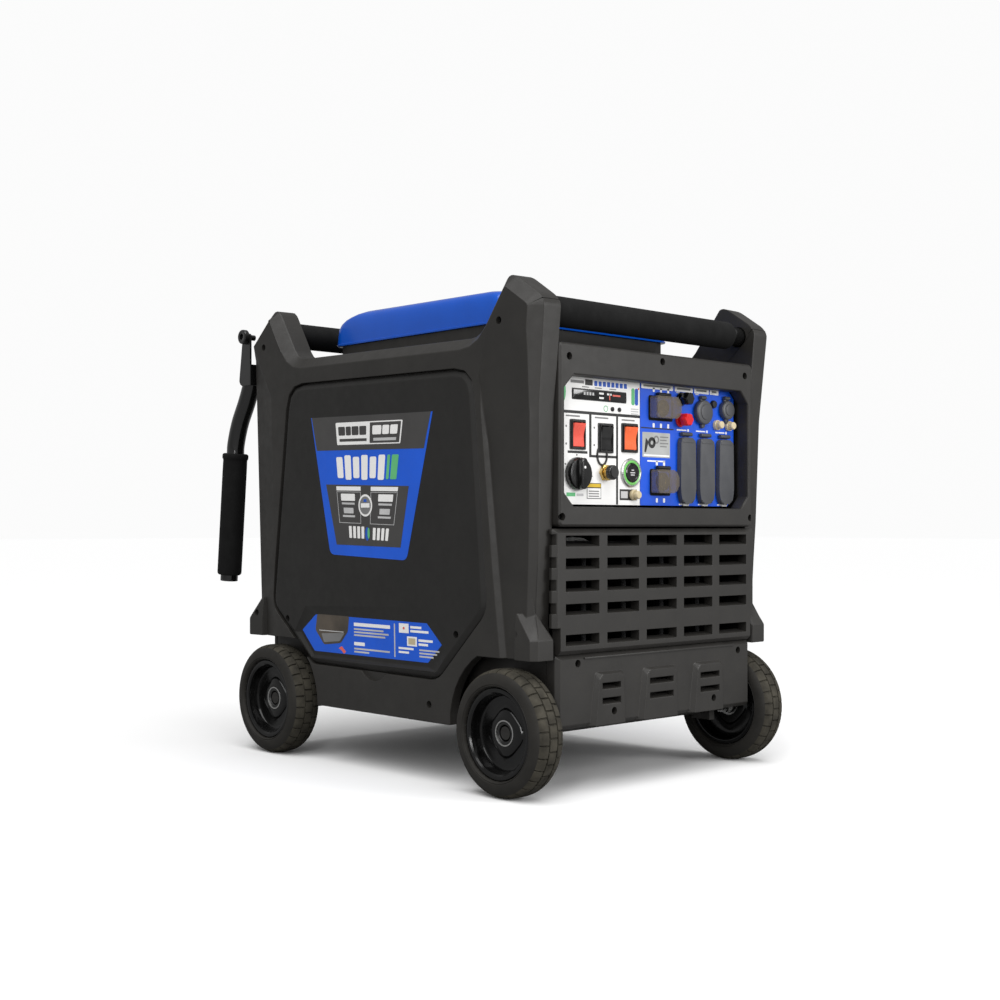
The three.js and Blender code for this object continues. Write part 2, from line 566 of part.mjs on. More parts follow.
// ---------- base and deck ----------
function basePan() {
  const top = PAN_Z + PAN_HEIGHT;
  const shell = cut(box(PAN_REAR, PAN_FRONT, -BODY_Y, BODY_Y, PAN_Z, top),
    box(PAN_REAR + PAN_WALL, PAN_FRONT - PAN_WALL, -BODY_Y + PAN_WALL, BODY_Y - PAN_WALL,
      PAN_Z + PAN_WALL, top + 10));
  const lugY = INNER_Y - 33;
  const lugs = Object.values(AXLES).flatMap((axle) => [-1, 1].map((side) =>
    box(axle - 15, axle + 15, side * lugY - 5, side * lugY + 5, WHEEL_R - 16, PAN_Z + 2)));
  const bores = Object.values(AXLES).map((axle) =>
    rod('y', AXLE_R + 0.5, -SIDE_Y, SIDE_Y, [axle, 0, WHEEL_R]));
  return cut(join(shell, ...lugs), ...bores);
}
place('base_pan', basePan(), CHARCOAL);

const RIM_WALL = 8;
function topDeck() {
  const end = FRONT_X - BEZEL.depth - GAP;
  const plate = box(REAR_PANEL.front + GAP, end, -BODY_Y, BODY_Y, DECK_Z - DECK_T, DECK_Z);
  const rimTop = TANK.seat - GAP;
  const rim = prism('z', rect(TANK.rear + 4, TANK.front - 4, -TANK.half + 4, TANK.half - 4, 26),
    DECK_Z - 1, rimTop);
  const well = prism('z', rect(TANK.rear + 4 + RIM_WALL, TANK.front - 4 - RIM_WALL,
    -TANK.half + 4 + RIM_WALL, TANK.half - 4 - RIM_WALL, 20), DECK_Z - 40, rimTop + 5);
  return cut(join(plate, rim), well);
}
place('top_deck', topDeck(), CHARCOAL);

// ---------- fuel tank ----------
function tankUpper() {
  const { rear, front, half, seat, top, wall, corner, brow } = TANK;
  const plan = (grow) => rect(rear + grow, front - grow, -half + grow, half - grow, corner - grow);
  const full = (grow, height) => prism('z', plan(grow), seat - 60, height, brow, brow * 0.8);
  const outside = full(0, top);
  const inside = full(wall, top - wall);
  const centre = [FILLER.x, FILLER.y, 0];
  const cup = rod('z', FILLER.recessR + wall, top - FILLER.recess - wall, top - 1, centre, 32);
  const recess = rod('z', FILLER.recessR, top - FILLER.recess, top + 5, centre, 32);
  const neck = rod('z', FILLER.neckR, top - FILLER.recess - 20, top, centre, 24);
  const below = box(rear - 9, front + 9, -half - 9, half + 9, seat - 90, seat);
  return cut(join(cut(outside, inside), cup), recess, neck, below);
}
place('fuel_tank_upper', tankUpper(), TANK_BLUE);

function tankLower() {
  const { rear, front, half, seat, wall, floor } = TANK;
  const slim = 4 + RIM_WALL + 1;
  const pan = (grow, base, up) => prism('z', rect(rear + slim + grow, front - slim - grow,
    -half + slim + grow, half - slim - grow, 20), base, up);
  return cut(pan(0, floor, seat - GAP), pan(wall, floor + wall, seat + 10));
}
place('fuel_tank_lower', tankLower(), TANK_BLUE);

place('fuel_cap', join(
  turned('z', [[0, GAP], [FILLER.capR - 2, GAP], [FILLER.capR, 3], [FILLER.capR, 13],
    [FILLER.capR - 3, 16], [0, 16]], [0, 0, 0], 24),
  rod('z', FILLER.neckR - 1, -10, 1, [0, 0, 0], 24),
), GLOSS_BLACK, [FILLER.x, FILLER.y, TANK.top - FILLER.recess]);

// ---------- lifting grips ----------
// A steel tube between the side frames, with a foam sleeve over most of it.
function liftingGrip(sleeveEnd) {
  const reach = INNER_Y + GRIP_SOCKET;
  return turned('y', [[0, -reach], [GRIP_TUBE_R, -reach], [GRIP_TUBE_R, -BODY_Y], [GRIP_SLEEVE_R, -BODY_Y],
    [GRIP_SLEEVE_R, sleeveEnd], [GRIP_TUBE_R, sleeveEnd], [GRIP_TUBE_R, reach], [0, reach]], [0, 0, 0]);
}
place('front_grip', liftingGrip(INNER_Y - 24), FOAM, [FRONT_GRIP.x, 0, FRONT_GRIP.z]);
place('rear_grip', liftingGrip(BODY_Y), FOAM, [REAR_GRIP.x, 0, REAR_GRIP.z]);

// ---------- wheels and axles ----------
const AXLE_END = WHEEL_Y + 5;
Object.entries(AXLES).forEach(([end, x]) =>
  place(`${end}_axle`, rod('y', AXLE_R, -AXLE_END, AXLE_END, [0, 0, 0]), STEEL, [x, 0, WHEEL_R]));

// Profiles across a wheel on the -Y side: distances grow inwards.
const TYRE_PROFILE = [
  [RIM_R, -15], [RIM_R + 3.5, -15], [RIM_R + 6, -20.5], [RIM_R + 12, -TYRE_HALF], [WHEEL_R - 5, -20],
  [WHEEL_R, -14], [WHEEL_R, 14], [WHEEL_R - 5, 20], [RIM_R + 12, TYRE_HALF], [RIM_R + 6, 20.5],
  [RIM_R + 3.5, 15], [RIM_R, 15], [RIM_R, -15],
];
const RIM_PROFILE = [
  [AXLE_R + RUNNING, -6.5], [25, -6], [26, -3], [43, -3], [47.5, -18.5],
  [RIM_R + 1.5, -18.5], [RIM_R + 1.5, -15.5], [RIM_R - GAP, -15.5], [RIM_R - GAP, 15.5],
  [RIM_R + 1.5, 15.5], [RIM_R + 1.5, 18.5], [47.5, 18.5], [45, 3], [16, 3], [16, 12],
  [AXLE_R + RUNNING, 12], [AXLE_R + RUNNING, -6.5],
];
const tyre = turned('y', TYRE_PROFILE, [0, 0, 0], WHEEL_FACETS);
const rim = turned('y', RIM_PROFILE, [0, 0, 0], WHEEL_FACETS);
Object.entries(AXLES).forEach(([end, x]) => {
  placePair(`${end}_tyre`, tyre, TYRE_RUBBER, [x, -WHEEL_Y, WHEEL_R]);
  placePair(`${end}_rim`, rim, GLOSS_BLACK, [x, -WHEEL_Y, WHEEL_R]);
});

// ---------- tow handles ----------
const BRACKET_X = REAR_X - GAP;
const LUG_IN = HANDLE.y - HANDLE.tubeR - GAP;
const LUG_OUT = HANDLE.y + HANDLE.tubeR + GAP;

function handleBracket() {
  const end = LUG_OUT + LUG_T;
  const bar = box(BRACKET_X - BRACKET.bar, BRACKET_X, -end, end, BRACKET.low, BRACKET.high);
  const lug = [
    [BRACKET_X - 1, BRACKET.low], [BRACKET_X - 1, LOCK_KNOB.z + 4, 4], [LOCK_KNOB.x - 8, LOCK_KNOB.z + 8, 6],
    [HANDLE.x - 12, HANDLE.z - 8, 8], [HANDLE.x - 6, BRACKET.low, 6],
  ];
  const lugs = [-1, 1].flatMap((side) => [LUG_IN - LUG_T, LUG_OUT].map((from) => {
    const [y0, y1] = [side * from, side * (from + LUG_T)].sort((a, b) => a - b);
    return prism('y', lug, y0, y1);
  }));
  const pins = [-1, 1].map((side) => {
    const [y0, y1] = [side * (LUG_IN - 1), side * (LUG_OUT + 1)].sort((a, b) => a - b);
    return rod('y', PIVOT_PIN_R, y0, y1, [HANDLE.x, 0, HANDLE.z], 16);
  });
  const knobHoles = rod('y', 4.5, -SIDE_Y - 9, SIDE_Y + 9, [LOCK_KNOB.x, 0, LOCK_KNOB.z], 16);
  return join(cut(join(bar, ...lugs), knobHoles), ...pins);
}
place('handle_bracket', handleBracket(), GLOSS_BLACK);

const hang = THREE.MathUtils.degToRad(HANDLE.hang);
const down = V(-Math.sin(hang), 0, -Math.cos(hang));
const elbow = V(ELBOW.x - HANDLE.x, 0, ELBOW.z - HANDLE.z);

function handleArm() {
  const bend = new THREE.CatmullRomCurve3([
    V(-2, 0, -8), V(-16, 0, -36), V(-34, 0, -66), elbow, elbow.clone().addScaledVector(down, 20),
  ]);
  const section = new THREE.Shape().absarc(0, 0, HANDLE.tubeR, 0, 2 * Math.PI);
  section.holes.push(new THREE.Path().absarc(0, 0, HANDLE.bore, 0, 2 * Math.PI));
  const sweep = (path, steps) => solidOf(new THREE.ExtrudeGeometry(section, {
    extrudePath: path, steps, curveSegments: 6, bevelEnabled: false }));
  const straight = new THREE.LineCurve3(elbow.clone().addScaledVector(down, 19.9),
    elbow.clone().addScaledVector(down, ARM_LENGTH));
  const boss = rod('y', HANDLE.tubeR, -HANDLE.tubeR, HANDLE.tubeR, [0, 0, 0]);
  const pinBore = rod('y', PIVOT_PIN_R + 0.4, -30, 30, [0, 0, 0], 16);
  return cut(join(sweep(bend, 9), sweep(straight, 1), boss), pinBore);
}

function handleGrip() {
  const facets = 16;
  const bore = (HANDLE.tubeR + GAP) / Math.cos(Math.PI / facets);
  const sleeve = ring('z', bore, HANDLE.sleeveR, -GRIP_TO, -GRIP_FROM, [0, 0, 0], facets);
  const geometry = geometryOf(sleeve).rotateY(hang).translate(elbow.x, 0, elbow.z);
  return solidOf(geometry);
}
const pivot = [HANDLE.x, -HANDLE.y, HANDLE.z];
placePair('handle_arm', handleArm(), GLOSS_BLACK, pivot);
placePair('handle_grip', handleGrip(), FOAM, pivot);

placePair('handle_lock_knob', join(
  turned('y', [[0, -LOCK_KNOB.out], [LOCK_KNOB.r - 2, -LOCK_KNOB.out], [LOCK_KNOB.r, -LOCK_KNOB.out + 2],
    [LOCK_KNOB.r, -GAP], [0, -GAP]], [0, 0, 0]),
  rod('y', 4, -1, LUG_T + 12, [0, 0, 0], 16),
), GLOSS_BLACK, [LOCK_KNOB.x, -LUG_OUT - LUG_T, LOCK_KNOB.z]);

// ---------- power unit ----------
const SHAFT = { y: -10, z: 215, r: 12 };
const CASE = { rear: -150, front: 20 };
const FLOOR = PAN_Z + PAN_WALL + GAP;

function engineBlock() {
  const crankcase = prism('x', rect(-115, 95, 120, 300, 30), CASE.rear, CASE.front, 6, 6, true);
  const barrel = box(-113, -17, -73, 53, 290, 400);
  const fins = Array.from({ length: 6 }, (_, i) =>
    box(-126, -4, -88, 68, 314 + i * 15, 318 + i * 15));
  const head = prism('z', rect(-120, -10, -82, 62, 14), 398, 448, 6, 6);
  const feet = [-1, 1].flatMap((side) => [CASE.rear + 20, CASE.front - 20].map((x) =>
    box(x - 14, x + 14, SHAFT.y + side * 80 - 12, SHAFT.y + side * 80 + 12, FLOOR, 135)));
  const bore = rod('x', SHAFT.r + RUNNING, -400, 400, [0, SHAFT.y, SHAFT.z]);
  return cut(join(crankcase, barrel, head, ...fins, ...feet), bore);
}
place('engine_block', engineBlock(), CAST_ALLOY);

const FLYWHEEL = { from: 32, to: 62, r: 92 };
const ROTOR = { from: 82, to: 150, r: 60 };
place('crankshaft_rotor', turned('x', [
  [0, CASE.rear - 12], [SHAFT.r, CASE.rear - 12], [SHAFT.r, FLYWHEEL.from], [FLYWHEEL.r, FLYWHEEL.from],
  [FLYWHEEL.r, FLYWHEEL.to], [SHAFT.r, FLYWHEEL.to], [SHAFT.r, ROTOR.from], [ROTOR.r, ROTOR.from],
  [ROTOR.r, ROTOR.to], [SHAFT.r, ROTOR.to], [SHAFT.r, ROTOR.to + 14], [0, ROTOR.to + 14],
], [0, 0, 0], 28), STEEL, [0, SHAFT.y, SHAFT.z]);

place('alternator_stator', join(
  ring('x', ROTOR.r + 2, ROTOR.r + 30, ROTOR.from, ROTOR.to, [0, SHAFT.y, SHAFT.z], 28),
  ...[-1, 1].map((side) => box(ROTOR.from + 10, ROTOR.to - 10, SHAFT.y + side * 50 - 14,
    SHAFT.y + side * 50 + 14, FLOOR, SHAFT.z - 68)),
), STEEL);

const MUFFLER = {
  rear: REAR_X + 30, front: REAR_X + 120, low: 190, high: 380, left: -100, right: 140, round: 26, shell: 2.5,
};
function muffler() {
  const { rear, front, low, high, left, right, round, shell } = MUFFLER;
  const can = (grow) => prism('y', rect(rear + grow, front - grow, low + grow, high - grow, round - grow),
    left + grow, right - grow, 8, 8, true);
  const centre = [0, OUTLET.y, OUTLET.z];
  const pipe = ring('x', OUTLET.r - shell, OUTLET.r, REAR_PANEL.back + 2, rear + 12, centre, 24);
  const mouth = rod('x', OUTLET.r - shell, rear - 5, rear + 20, centre, 24);
  return cut(join(cut(can(0), can(shell)), pipe), mouth);
}
place('muffler', muffler(), STEEL);

place('air_cleaner', prism('y', rect(-120, 40, 320, 440, 18), INNER_Y - 83,
  INNER_Y - 11, 5, 5, true), COVER_BLACK);

const INVERTER = { back: FRONT_X - 107, front: FRONT_X - 33 };
const heatFins = Array.from({ length: 9 }, (_, i) =>
  box(INVERTER.back + 30, INVERTER.front, -148 + i * 36, -140 + i * 36, 104, 296));
place('inverter_module', join(box(INVERTER.back, INVERTER.back + 32, -152, 152, FLOOR, 300), ...heatFins),
  CAST_ALLOY);

place('battery', join(box(62, 152, INNER_Y - 78, INNER_Y - 11, FLOOR, 186),
  ...[-1, 1].map((side) => box(107 + side * 28 - 5, 107 + side * 28 + 5, INNER_Y - 53, INNER_Y - 41,
    185, 194))), COVER_BLACK);

const extent = new THREE.Box3().setFromObject(generator);
generator.position.x = -(extent.min.x + extent.max.x) / 2;

export default generator;
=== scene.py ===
"""Looks of a portable inverter generator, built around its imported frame.

Local outlines are in millimetres; "where" matrices carry them into the row frame, in metres.
"""

import json
import math

import bmesh
import bpy
from mathutils import Matrix, Vector


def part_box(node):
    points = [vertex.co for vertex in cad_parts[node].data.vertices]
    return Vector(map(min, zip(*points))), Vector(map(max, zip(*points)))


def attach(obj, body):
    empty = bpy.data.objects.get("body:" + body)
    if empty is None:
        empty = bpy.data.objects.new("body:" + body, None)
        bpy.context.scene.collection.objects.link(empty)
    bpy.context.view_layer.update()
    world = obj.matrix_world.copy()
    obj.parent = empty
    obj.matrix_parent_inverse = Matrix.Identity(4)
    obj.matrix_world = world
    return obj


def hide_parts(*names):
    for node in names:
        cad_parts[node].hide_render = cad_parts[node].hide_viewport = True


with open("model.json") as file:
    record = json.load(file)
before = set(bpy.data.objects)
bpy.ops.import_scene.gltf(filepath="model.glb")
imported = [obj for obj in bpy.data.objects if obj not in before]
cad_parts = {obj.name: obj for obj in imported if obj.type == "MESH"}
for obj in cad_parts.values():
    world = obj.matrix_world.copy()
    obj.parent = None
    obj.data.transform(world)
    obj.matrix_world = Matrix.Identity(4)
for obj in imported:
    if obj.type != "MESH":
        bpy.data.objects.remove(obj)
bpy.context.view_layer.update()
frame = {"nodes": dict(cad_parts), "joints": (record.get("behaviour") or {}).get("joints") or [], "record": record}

MM = 0.001
X, Y, Z = Vector((1, 0, 0)), Vector((0, 1, 0)), Vector((0, 0, 1))
SIDES = {"left": -1, "right": 1}
ENDS = {"front": 1, "rear": -1}
INK = 0.15                    # height of one printed layer


def middle(node):
    low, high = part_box(node)
    return (low + high) / 2


MID = (middle("front_axle").x + middle("rear_axle").x) / 2


def at(x, y, z):
    """A point given in millimetres from the middle of the wheelbase, on the floor."""
    return Vector((MID + x * MM, y * MM, z * MM))


def facing(origin, u, v):
    """Matrix from local millimetres along u, v and their normal into the row frame."""
    turn = Matrix((u, v, u.cross(v))).transposed().to_4x4()
    return Matrix.Translation(origin) @ turn @ Matrix.Scale(MM, 4)


# ---------- places, taken from the frame ----------
PLATE_X = (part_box("engine_faceplate")[1].x - MID) / MM
BEZEL_X = (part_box("control_bezel")[1].x - MID) / MM
VENT_X = BEZEL_X - 4          # face of the lower vent cover, without its bumps
SHOULDER_Z = 585
SIDE_Y = 225
LEAN = math.radians(1.15)
COVER_PROUD = 0.5             # cover face beyond the frame's side plane
POCKET = 5                    # depth of the lower pocket in a cover
HINGE_OUT = 3.2               # a lid's hinge axis beyond the plates' face
PLATE = facing(at(PLATE_X, 0, 0), Y, Z)


def on_plate(y, z):
    """Local frame on the control plates' face."""
    return facing(at(PLATE_X, y, z), Y, Z)


def across_plate(y, z):
    """Local frame of a hinge knuckle on the plates, with its normal along Y."""
    return facing(at(PLATE_X + HINGE_OUT, y, z), Z, X)


def side_plane(side, x, z, out=0.0):
    """Local frame on a leaning side, at x and z, with its normal pointing outwards."""
    up = Vector((0, side * math.sin(LEAN), math.cos(LEAN)))
    u = X * -side
    origin = at(x, side * SIDE_Y, SHOULDER_Z) + up * ((z - SHOULDER_Z) * MM)
    return facing(origin + u.cross(up) * (out * MM), u, up)


# ---------- mesh building ----------
def rounded(corners, radius=0.0, steps=5):
    """The corners, each replaced by a curve; a corner may carry its own radius."""
    points = []
    for i, (u, v, *own) in enumerate(corners):
        reach = own[0] if own else radius
        corner = Vector((u, v))
        back = Vector(corners[i - 1][:2]) - corner
        ahead = Vector(corners[(i + 1) % len(corners)][:2]) - corner
        if reach <= 0:
            points.append(corner)
            continue
        reach = min(reach, back.length * 0.49, ahead.length * 0.49)
        start, end = corner + back.normalized() * reach, corner + ahead.normalized() * reach
        for k in range(steps + 1):
            t = k / steps
            points.append((1 - t) ** 2 * start + 2 * t * (1 - t) * corner + t * t * end)
    return points


def rect(u0, u1, v0, v1, radius=0.0):
    return rounded([(u0, v0), (u1, v0), (u1, v1), (u0, v1)], radius)


def circle(u, v, r, steps=32, squash=1.0):
    turns = [2 * math.pi * k / steps for k in range(steps)]
    return [Vector((u + r * math.cos(a), v + r * squash * math.sin(a))) for a in turns]


def slab(points, depth, bevel=0.0, base=0.0, segments=2):
    """A closed plate of that outline, with its outer edge bevelled."""
    bm = bmesh.new()
    low = [bm.verts.new((p[0], p[1], base)) for p in points]
    high = [bm.verts.new((p[0], p[1], base + depth)) for p in points]
    bm.faces.new(list(reversed(low)))
    bm.faces.new(high)
    for i in range(len(points)):
        bm.faces.new((low[i - 1], low[i], high[i], high[i - 1]))
    if bevel > 0:
        top = set(high)
        rim = [e for e in bm.edges if e.verts[0] in top and e.verts[1] in top]
        bmesh.ops.bevel(bm, geom=rim, offset=bevel, segments=segments, profile=0.5,
                        affect="EDGES", clamp_overlap=True)
    return bm


def ring_plate(outer, inner, depth, base=0.0):
    """A flat frame between two outlines that have the same number of points."""
    bm = bmesh.new()
    loops = [[bm.verts.new((p[0], p[1], w)) for p in loop]
             for w in (base, base + depth) for loop in (outer, inner)]
    low_out, low_in, high_out, high_in = loops
    for i in range(len(outer)):
        bm.faces.new((low_out[i - 1], low_out[i], high_out[i], high_out[i - 1]))
        bm.faces.new((high_out[i - 1], high_out[i], high_in[i], high_in[i - 1]))
        bm.faces.new((high_in[i - 1], high_in[i], low_in[i], low_in[i - 1]))
        bm.faces.new((low_in[i - 1], low_in[i], low_out[i], low_out[i - 1]))
    return bm


def lathe(profile, steps=48, shape=None):
    """Turns (radius, height) points about the local normal. shape(angle, r, w) may change them."""
    bm = bmesh.new()
    turns = [2 * math.pi * k / steps for k in range(steps)] if isinstance(steps, int) else steps
    rows = []
    for r, w in profile:
        if r == 0:
            rows.append([bm.verts.new((0, 0, w))])
            continue
        row = []
        for a in turns:
            rr, ww = shape(a, r, w) if shape else (r, w)
            row.append(bm.verts.new((rr * math.cos(a), rr * math.sin(a), ww)))
        rows.append(row)
    closed = profile[0][0] != 0 and profile[-1][0] != 0
    pairs = list(zip(rows, rows[1:])) + ([(rows[-1], rows[0])] if closed else [])
    for one, two in pairs:
        for k in range(len(turns)):
            ring = [one[k - 1] if len(one) > 1 else one[0], one[k] if len(one) > 1 else None,
                    two[k] if len(two) > 1 else two[0], two[k - 1] if len(two) > 1 else None]
            bm.faces.new([v for v in ring if v is not None])
    return bm


def loft(bm, rows):
    """Skins rows of points that run round a form, and caps both ends."""
    for one, two in zip(rows, rows[1:]):
        for k in range(len(one)):
            bm.faces.new((one[k - 1], one[k], two[k], two[k - 1]))
    bm.faces.new(list(reversed(rows[0])))
    bm.faces.new(rows[-1])
    return bm


def tube(path, radius, sides=24):
    """A capped round tube along points in three dimensions that share one plane of bending."""
    bm = bmesh.new()
    rows = []
    for i, p in enumerate(path):
        ahead = (path[min(i + 1, len(path) - 1)] - path[max(i - 1, 0)]).normalized()
        across = Y if abs(ahead.dot(Y)) < 0.9 else X
        other = ahead.cross(across).normalized()
        across = other.cross(ahead)
        turns = [2 * math.pi * k / sides for k in range(sides)]
        ring = [p + radius * (math.cos(a) * across + math.sin(a) * other) for a in turns]
        rows.append([bm.verts.new(point) for point in ring])
    return loft(bm, rows)


def merge(first, *others):
    for other in others:
        data = bpy.data.meshes.new("part")
        other.to_mesh(data)
        first.from_mesh(data)
        bpy.data.meshes.remove(data)
        other.free()
    return first


def moved(bm, u=0.0, v=0.0, w=0.0):
    bm.transform(Matrix.Translation((u, v, w)))
    return bm


def finish_mesh(bm, name, sharp=32):
    bmesh.ops.recalc_face_normals(bm, faces=bm.faces)
    for f in bm.faces:
        f.smooth = True
    limit = math.radians(sharp)
    for e in bm.edges:
        e.smooth = e.calc_face_angle(0.0) < limit
    mesh = bpy.data.meshes.new(name)
    bm.to_mesh(mesh)
    bm.free()
    return mesh


def put(name, bm, where, look, body="root", stands_for=(), sharp=32):
    """Adds a piece with a look, riding on a body, in place of the CAD nodes that it stands for."""
    if where is not None:
        bm.transform(where)
    piece = bpy.data.objects.new(name, finish_mesh(bm, name, sharp))
    bpy.context.scene.collection.objects.link(piece)
    material, slot = LOOKS[look]
    piece.data.materials.append(material)
    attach(piece, body)
    if stands_for:
        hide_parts(*stands_for)
    return piece


def body_of(node):
    return next(b for b, nodes in frame["record"]["behaviour"]["bodies"].items() if node in nodes)


def pivot_of(body):
    """Where a body's joint sits, in metres."""
    return Vector(next(j for j in frame["joints"] if j["child"] == body)["pos_m"])


def shown(work):
    """The mesh of an object with its modifiers applied."""
    depsgraph = bpy.context.evaluated_depsgraph_get()
    return bpy.data.meshes.new_from_object(work.evaluated_get(depsgraph))


def workpiece(bm, name):
    data = bpy.data.meshes.new(name)
    bm.to_mesh(data)
    bm.free()
    item = bpy.data.objects.new(name, data)
    bpy.context.scene.collection.objects.link(item)
    return item


def drilled(work, cutter_bm):
    """Cuts one mesh out of a work object for good."""
    bmesh.ops.recalc_face_normals(cutter_bm, faces=cutter_bm.faces)
    cutter = workpiece(cutter_bm, "cutter")
    boolean = work.modifiers.new("holes", "BOOLEAN")
    boolean.operation, boolean.object, boolean.solver = "DIFFERENCE", cutter, "EXACT"
    work.data = shown(work)
    work.modifiers.clear()
    bpy.data.objects.remove(cutter)


def refined(node, look, bevel=1.0, cutters=None):
    """A copy of a CAD node with drilled details and rounded edges, shown in its place."""
    bm = bmesh.new()
    bm.from_mesh(frame["nodes"][node].data)
    bmesh.ops.remove_doubles(bm, verts=bm.verts, dist=0.05 * MM)
    work = workpiece(bm, "work")
    if cutters is not None:
        drilled(work, cutters)
    bm = bmesh.new()
    bm.from_mesh(work.data)
    bmesh.ops.remove_doubles(bm, verts=bm.verts, dist=0.05 * MM)
    weight = bm.edges.layers.float.new("bevel_weight_edge")
    for e in bm.edges:
        long_enough = e.calc_length() > 2.5 * MM
        e[weight] = float(long_enough and e.calc_face_angle(0.0) > math.radians(24))
    bm.to_mesh(work.data)
    bm.free()
    edges = work.modifiers.new("edges", "BEVEL")
    edges.width, edges.segments, edges.limit_method = bevel * MM, 2, "WEIGHT"
    edges.use_clamp_overlap = False
    bm = bmesh.new()
    bm.from_mesh(shown(work))
    bpy.data.objects.remove(work)
    piece = put(f"{node}_shell", bm, None, look, body_of(node), [node], 38)
    piece.modifiers.new("flat_faces", "WEIGHTED_NORMAL").keep_sharp = True
    return piece


# ---------- materials ----------
def noise(tree, scale, detail=2.0, stretch=(1, 1, 1)):
    coordinates = tree.nodes.new("ShaderNodeTexCoord")
    mapping = tree.nodes.new("ShaderNodeMapping")
    mapping.inputs["Scale"].default_value = stretch
    texture = tree.nodes.new("ShaderNodeTexNoise")
    texture.inputs["Scale"].default_value = scale
    texture.inputs["Detail"].default_value = detail
    tree.links.new(coordinates.outputs["Object"], mapping.inputs["Vector"])
    tree.links.new(mapping.outputs["Vector"], texture.inputs["Vector"])
    return texture.outputs["Fac"]


def spread(tree, value, low, high):
    """Maps the middle of a noise to low..high."""
    node = tree.nodes.new("ShaderNodeMapRange")
    node.inputs["From Min"].default_value = 0.3
    node.inputs["From Max"].default_value = 0.7
    node.inputs["To Min"].default_value = low
    node.inputs["To Max"].default_value = high
    tree.links.new(value, node.inputs["Value"])
    return node.outputs["Result"]


def mixed(tree, value, one, two):
    node = tree.nodes.new("ShaderNodeMix")
    node.data_type = "RGBA"
    node.inputs[6].default_value = (*one, 1)
    node.inputs[7].default_value = (*two, 1)
    tree.links.new(value, node.inputs[0])
    return node.outputs[2]


def surface(name, colour, rough, metal=0.0, mottle=0.12, mottle_scale=25, grain=0.05, grain_scale=900,
            rough_span=0.06, stretch=(1, 1, 1), **sockets):
    """A material whose tone, gloss and fine relief all vary over the surface."""
    material = bpy.data.materials.new(name)
    material.use_nodes = True
    tree = material.node_tree
    bsdf = tree.nodes["Principled BSDF"]
    dark = [c * (1 - mottle) for c in colour]
    light = [min(1.0, c * (1 + mottle)) for c in colour]
    tone = spread(tree, noise(tree, mottle_scale, 4.0, stretch), 0, 1)
    tree.links.new(mixed(tree, tone, dark, light), bsdf.inputs["Base Color"])
    gloss = noise(tree, mottle_scale * 3, 3.0, stretch)
    tree.links.new(spread(tree, gloss, rough - rough_span, rough + rough_span), bsdf.inputs["Roughness"])
    bump = tree.nodes.new("ShaderNodeBump")
    bump.inputs["Strength"].default_value = 0.6
    bump.inputs["Distance"].default_value = grain * MM
    tree.links.new(noise(tree, grain_scale, 2.0, stretch), bump.inputs["Height"])
    tree.links.new(bump.outputs["Normal"], bsdf.inputs["Normal"])
    bsdf.inputs["Metallic"].default_value = metal
    for socket, value in sockets.items():
        bsdf.inputs[socket.replace("_", " ")].default_value = value
    return material


def look(name, slot, *args, **kwargs):
    LOOKS[name] = (surface(name, *args, **kwargs), slot)


LOOKS = {}
SPEC = "Specular_IOR_Level"
look("charcoal", "moulded_charcoal", (0.021, 0.0195, 0.0175), 0.5, grain=0.12, **{SPEC: 0.42})
look("cover", "cover_black", (0.0125, 0.0118, 0.0108), 0.55, grain=0.12, **{SPEC: 0.38})
# near-black look for the painted lid shadows on the outlet plate
look("recess", "cover_black", (0.004, 0.004, 0.004), 0.7, grain=0.1, **{SPEC: 0.2})
look("foam", "foam", (0.0035, 0.0035, 0.0035), 0.85, grain=0.3, grain_scale=1500, mottle=0.3,
     **{SPEC: 0.25})
look("gloss", "gloss_black", (0.004, 0.004, 0.004), 0.16, grain=0.02, grain_scale=400, Coat_Weight=0.4)
look("satin", "gloss_black", (0.008, 0.008, 0.008), 0.38, grain=0.03)
look("rim", "rim_black", (0.0025, 0.0025, 0.0025), 0.16, grain=0.03, grain_scale=300, **{SPEC: 0.4})
look("rubber", "tyre", (0.018, 0.0165, 0.014), 0.72, mottle=0.3, grain=0.2, **{SPEC: 0.35})
look("tread", "tyre", (0.042, 0.038, 0.029), 0.85, mottle=0.45, mottle_scale=60, grain=0.3,
     **{SPEC: 0.25})
look("tank", "tank_blue", (0.0, 0.082, 0.52), 0.2, mottle=0.05, grain=0.02, grain_scale=250,
     rough_span=0.03, Coat_Weight=0.3, Coat_Roughness=0.12, **{SPEC: 0.35})
look("white", "plate_white", (0.93, 0.925, 0.91), 0.38, mottle=0.03, grain=0.02)
for ink, colour in {
    "black_ink": (0.012, 0.012, 0.012), "grey_ink": (0.2, 0.2, 0.2), "pale_ink": (0.55, 0.55, 0.55),
    "green_ink": (0.12, 0.5, 0.2), "yellow_ink": (0.75, 0.5, 0.02), "red_ink": (0.8, 0.14, 0.1),
}.items():
    look(ink, "plate_white", colour, 0.4, grain=0.02)
look("blue_ink", "plate_blue", (0.01, 0.09, 0.5), 0.4, mottle=0.05, grain=0.02)
look("brown_ink", "plate_white", (0.075, 0.06, 0.045), 0.4, mottle=0.4, grain=0.02)
look("plate_blue", "plate_blue", (0.0, 0.085, 0.68), 0.4, mottle=0.04, grain=0.03)
look("decal_grey", "plate_white", (0.052, 0.05, 0.049), 0.45, mottle=0.08, grain=0.02)
look("decal_blue", "plate_blue", (0.002, 0.1, 0.68), 0.45, mottle=0.05, grain=0.02)
look("steel", "steel", (0.5, 0.5, 0.49), 0.3, 1.0, grain=0.02, stretch=(1, 1, 12))
look("alloy", "cast_alloy", (0.42, 0.43, 0.44), 0.5, 0.9, grain=0.25, grain_scale=500)
look("dark_alloy", "cast_alloy", (0.02, 0.02, 0.021), 0.55, 0.6, grain=0.2, grain_scale=500)
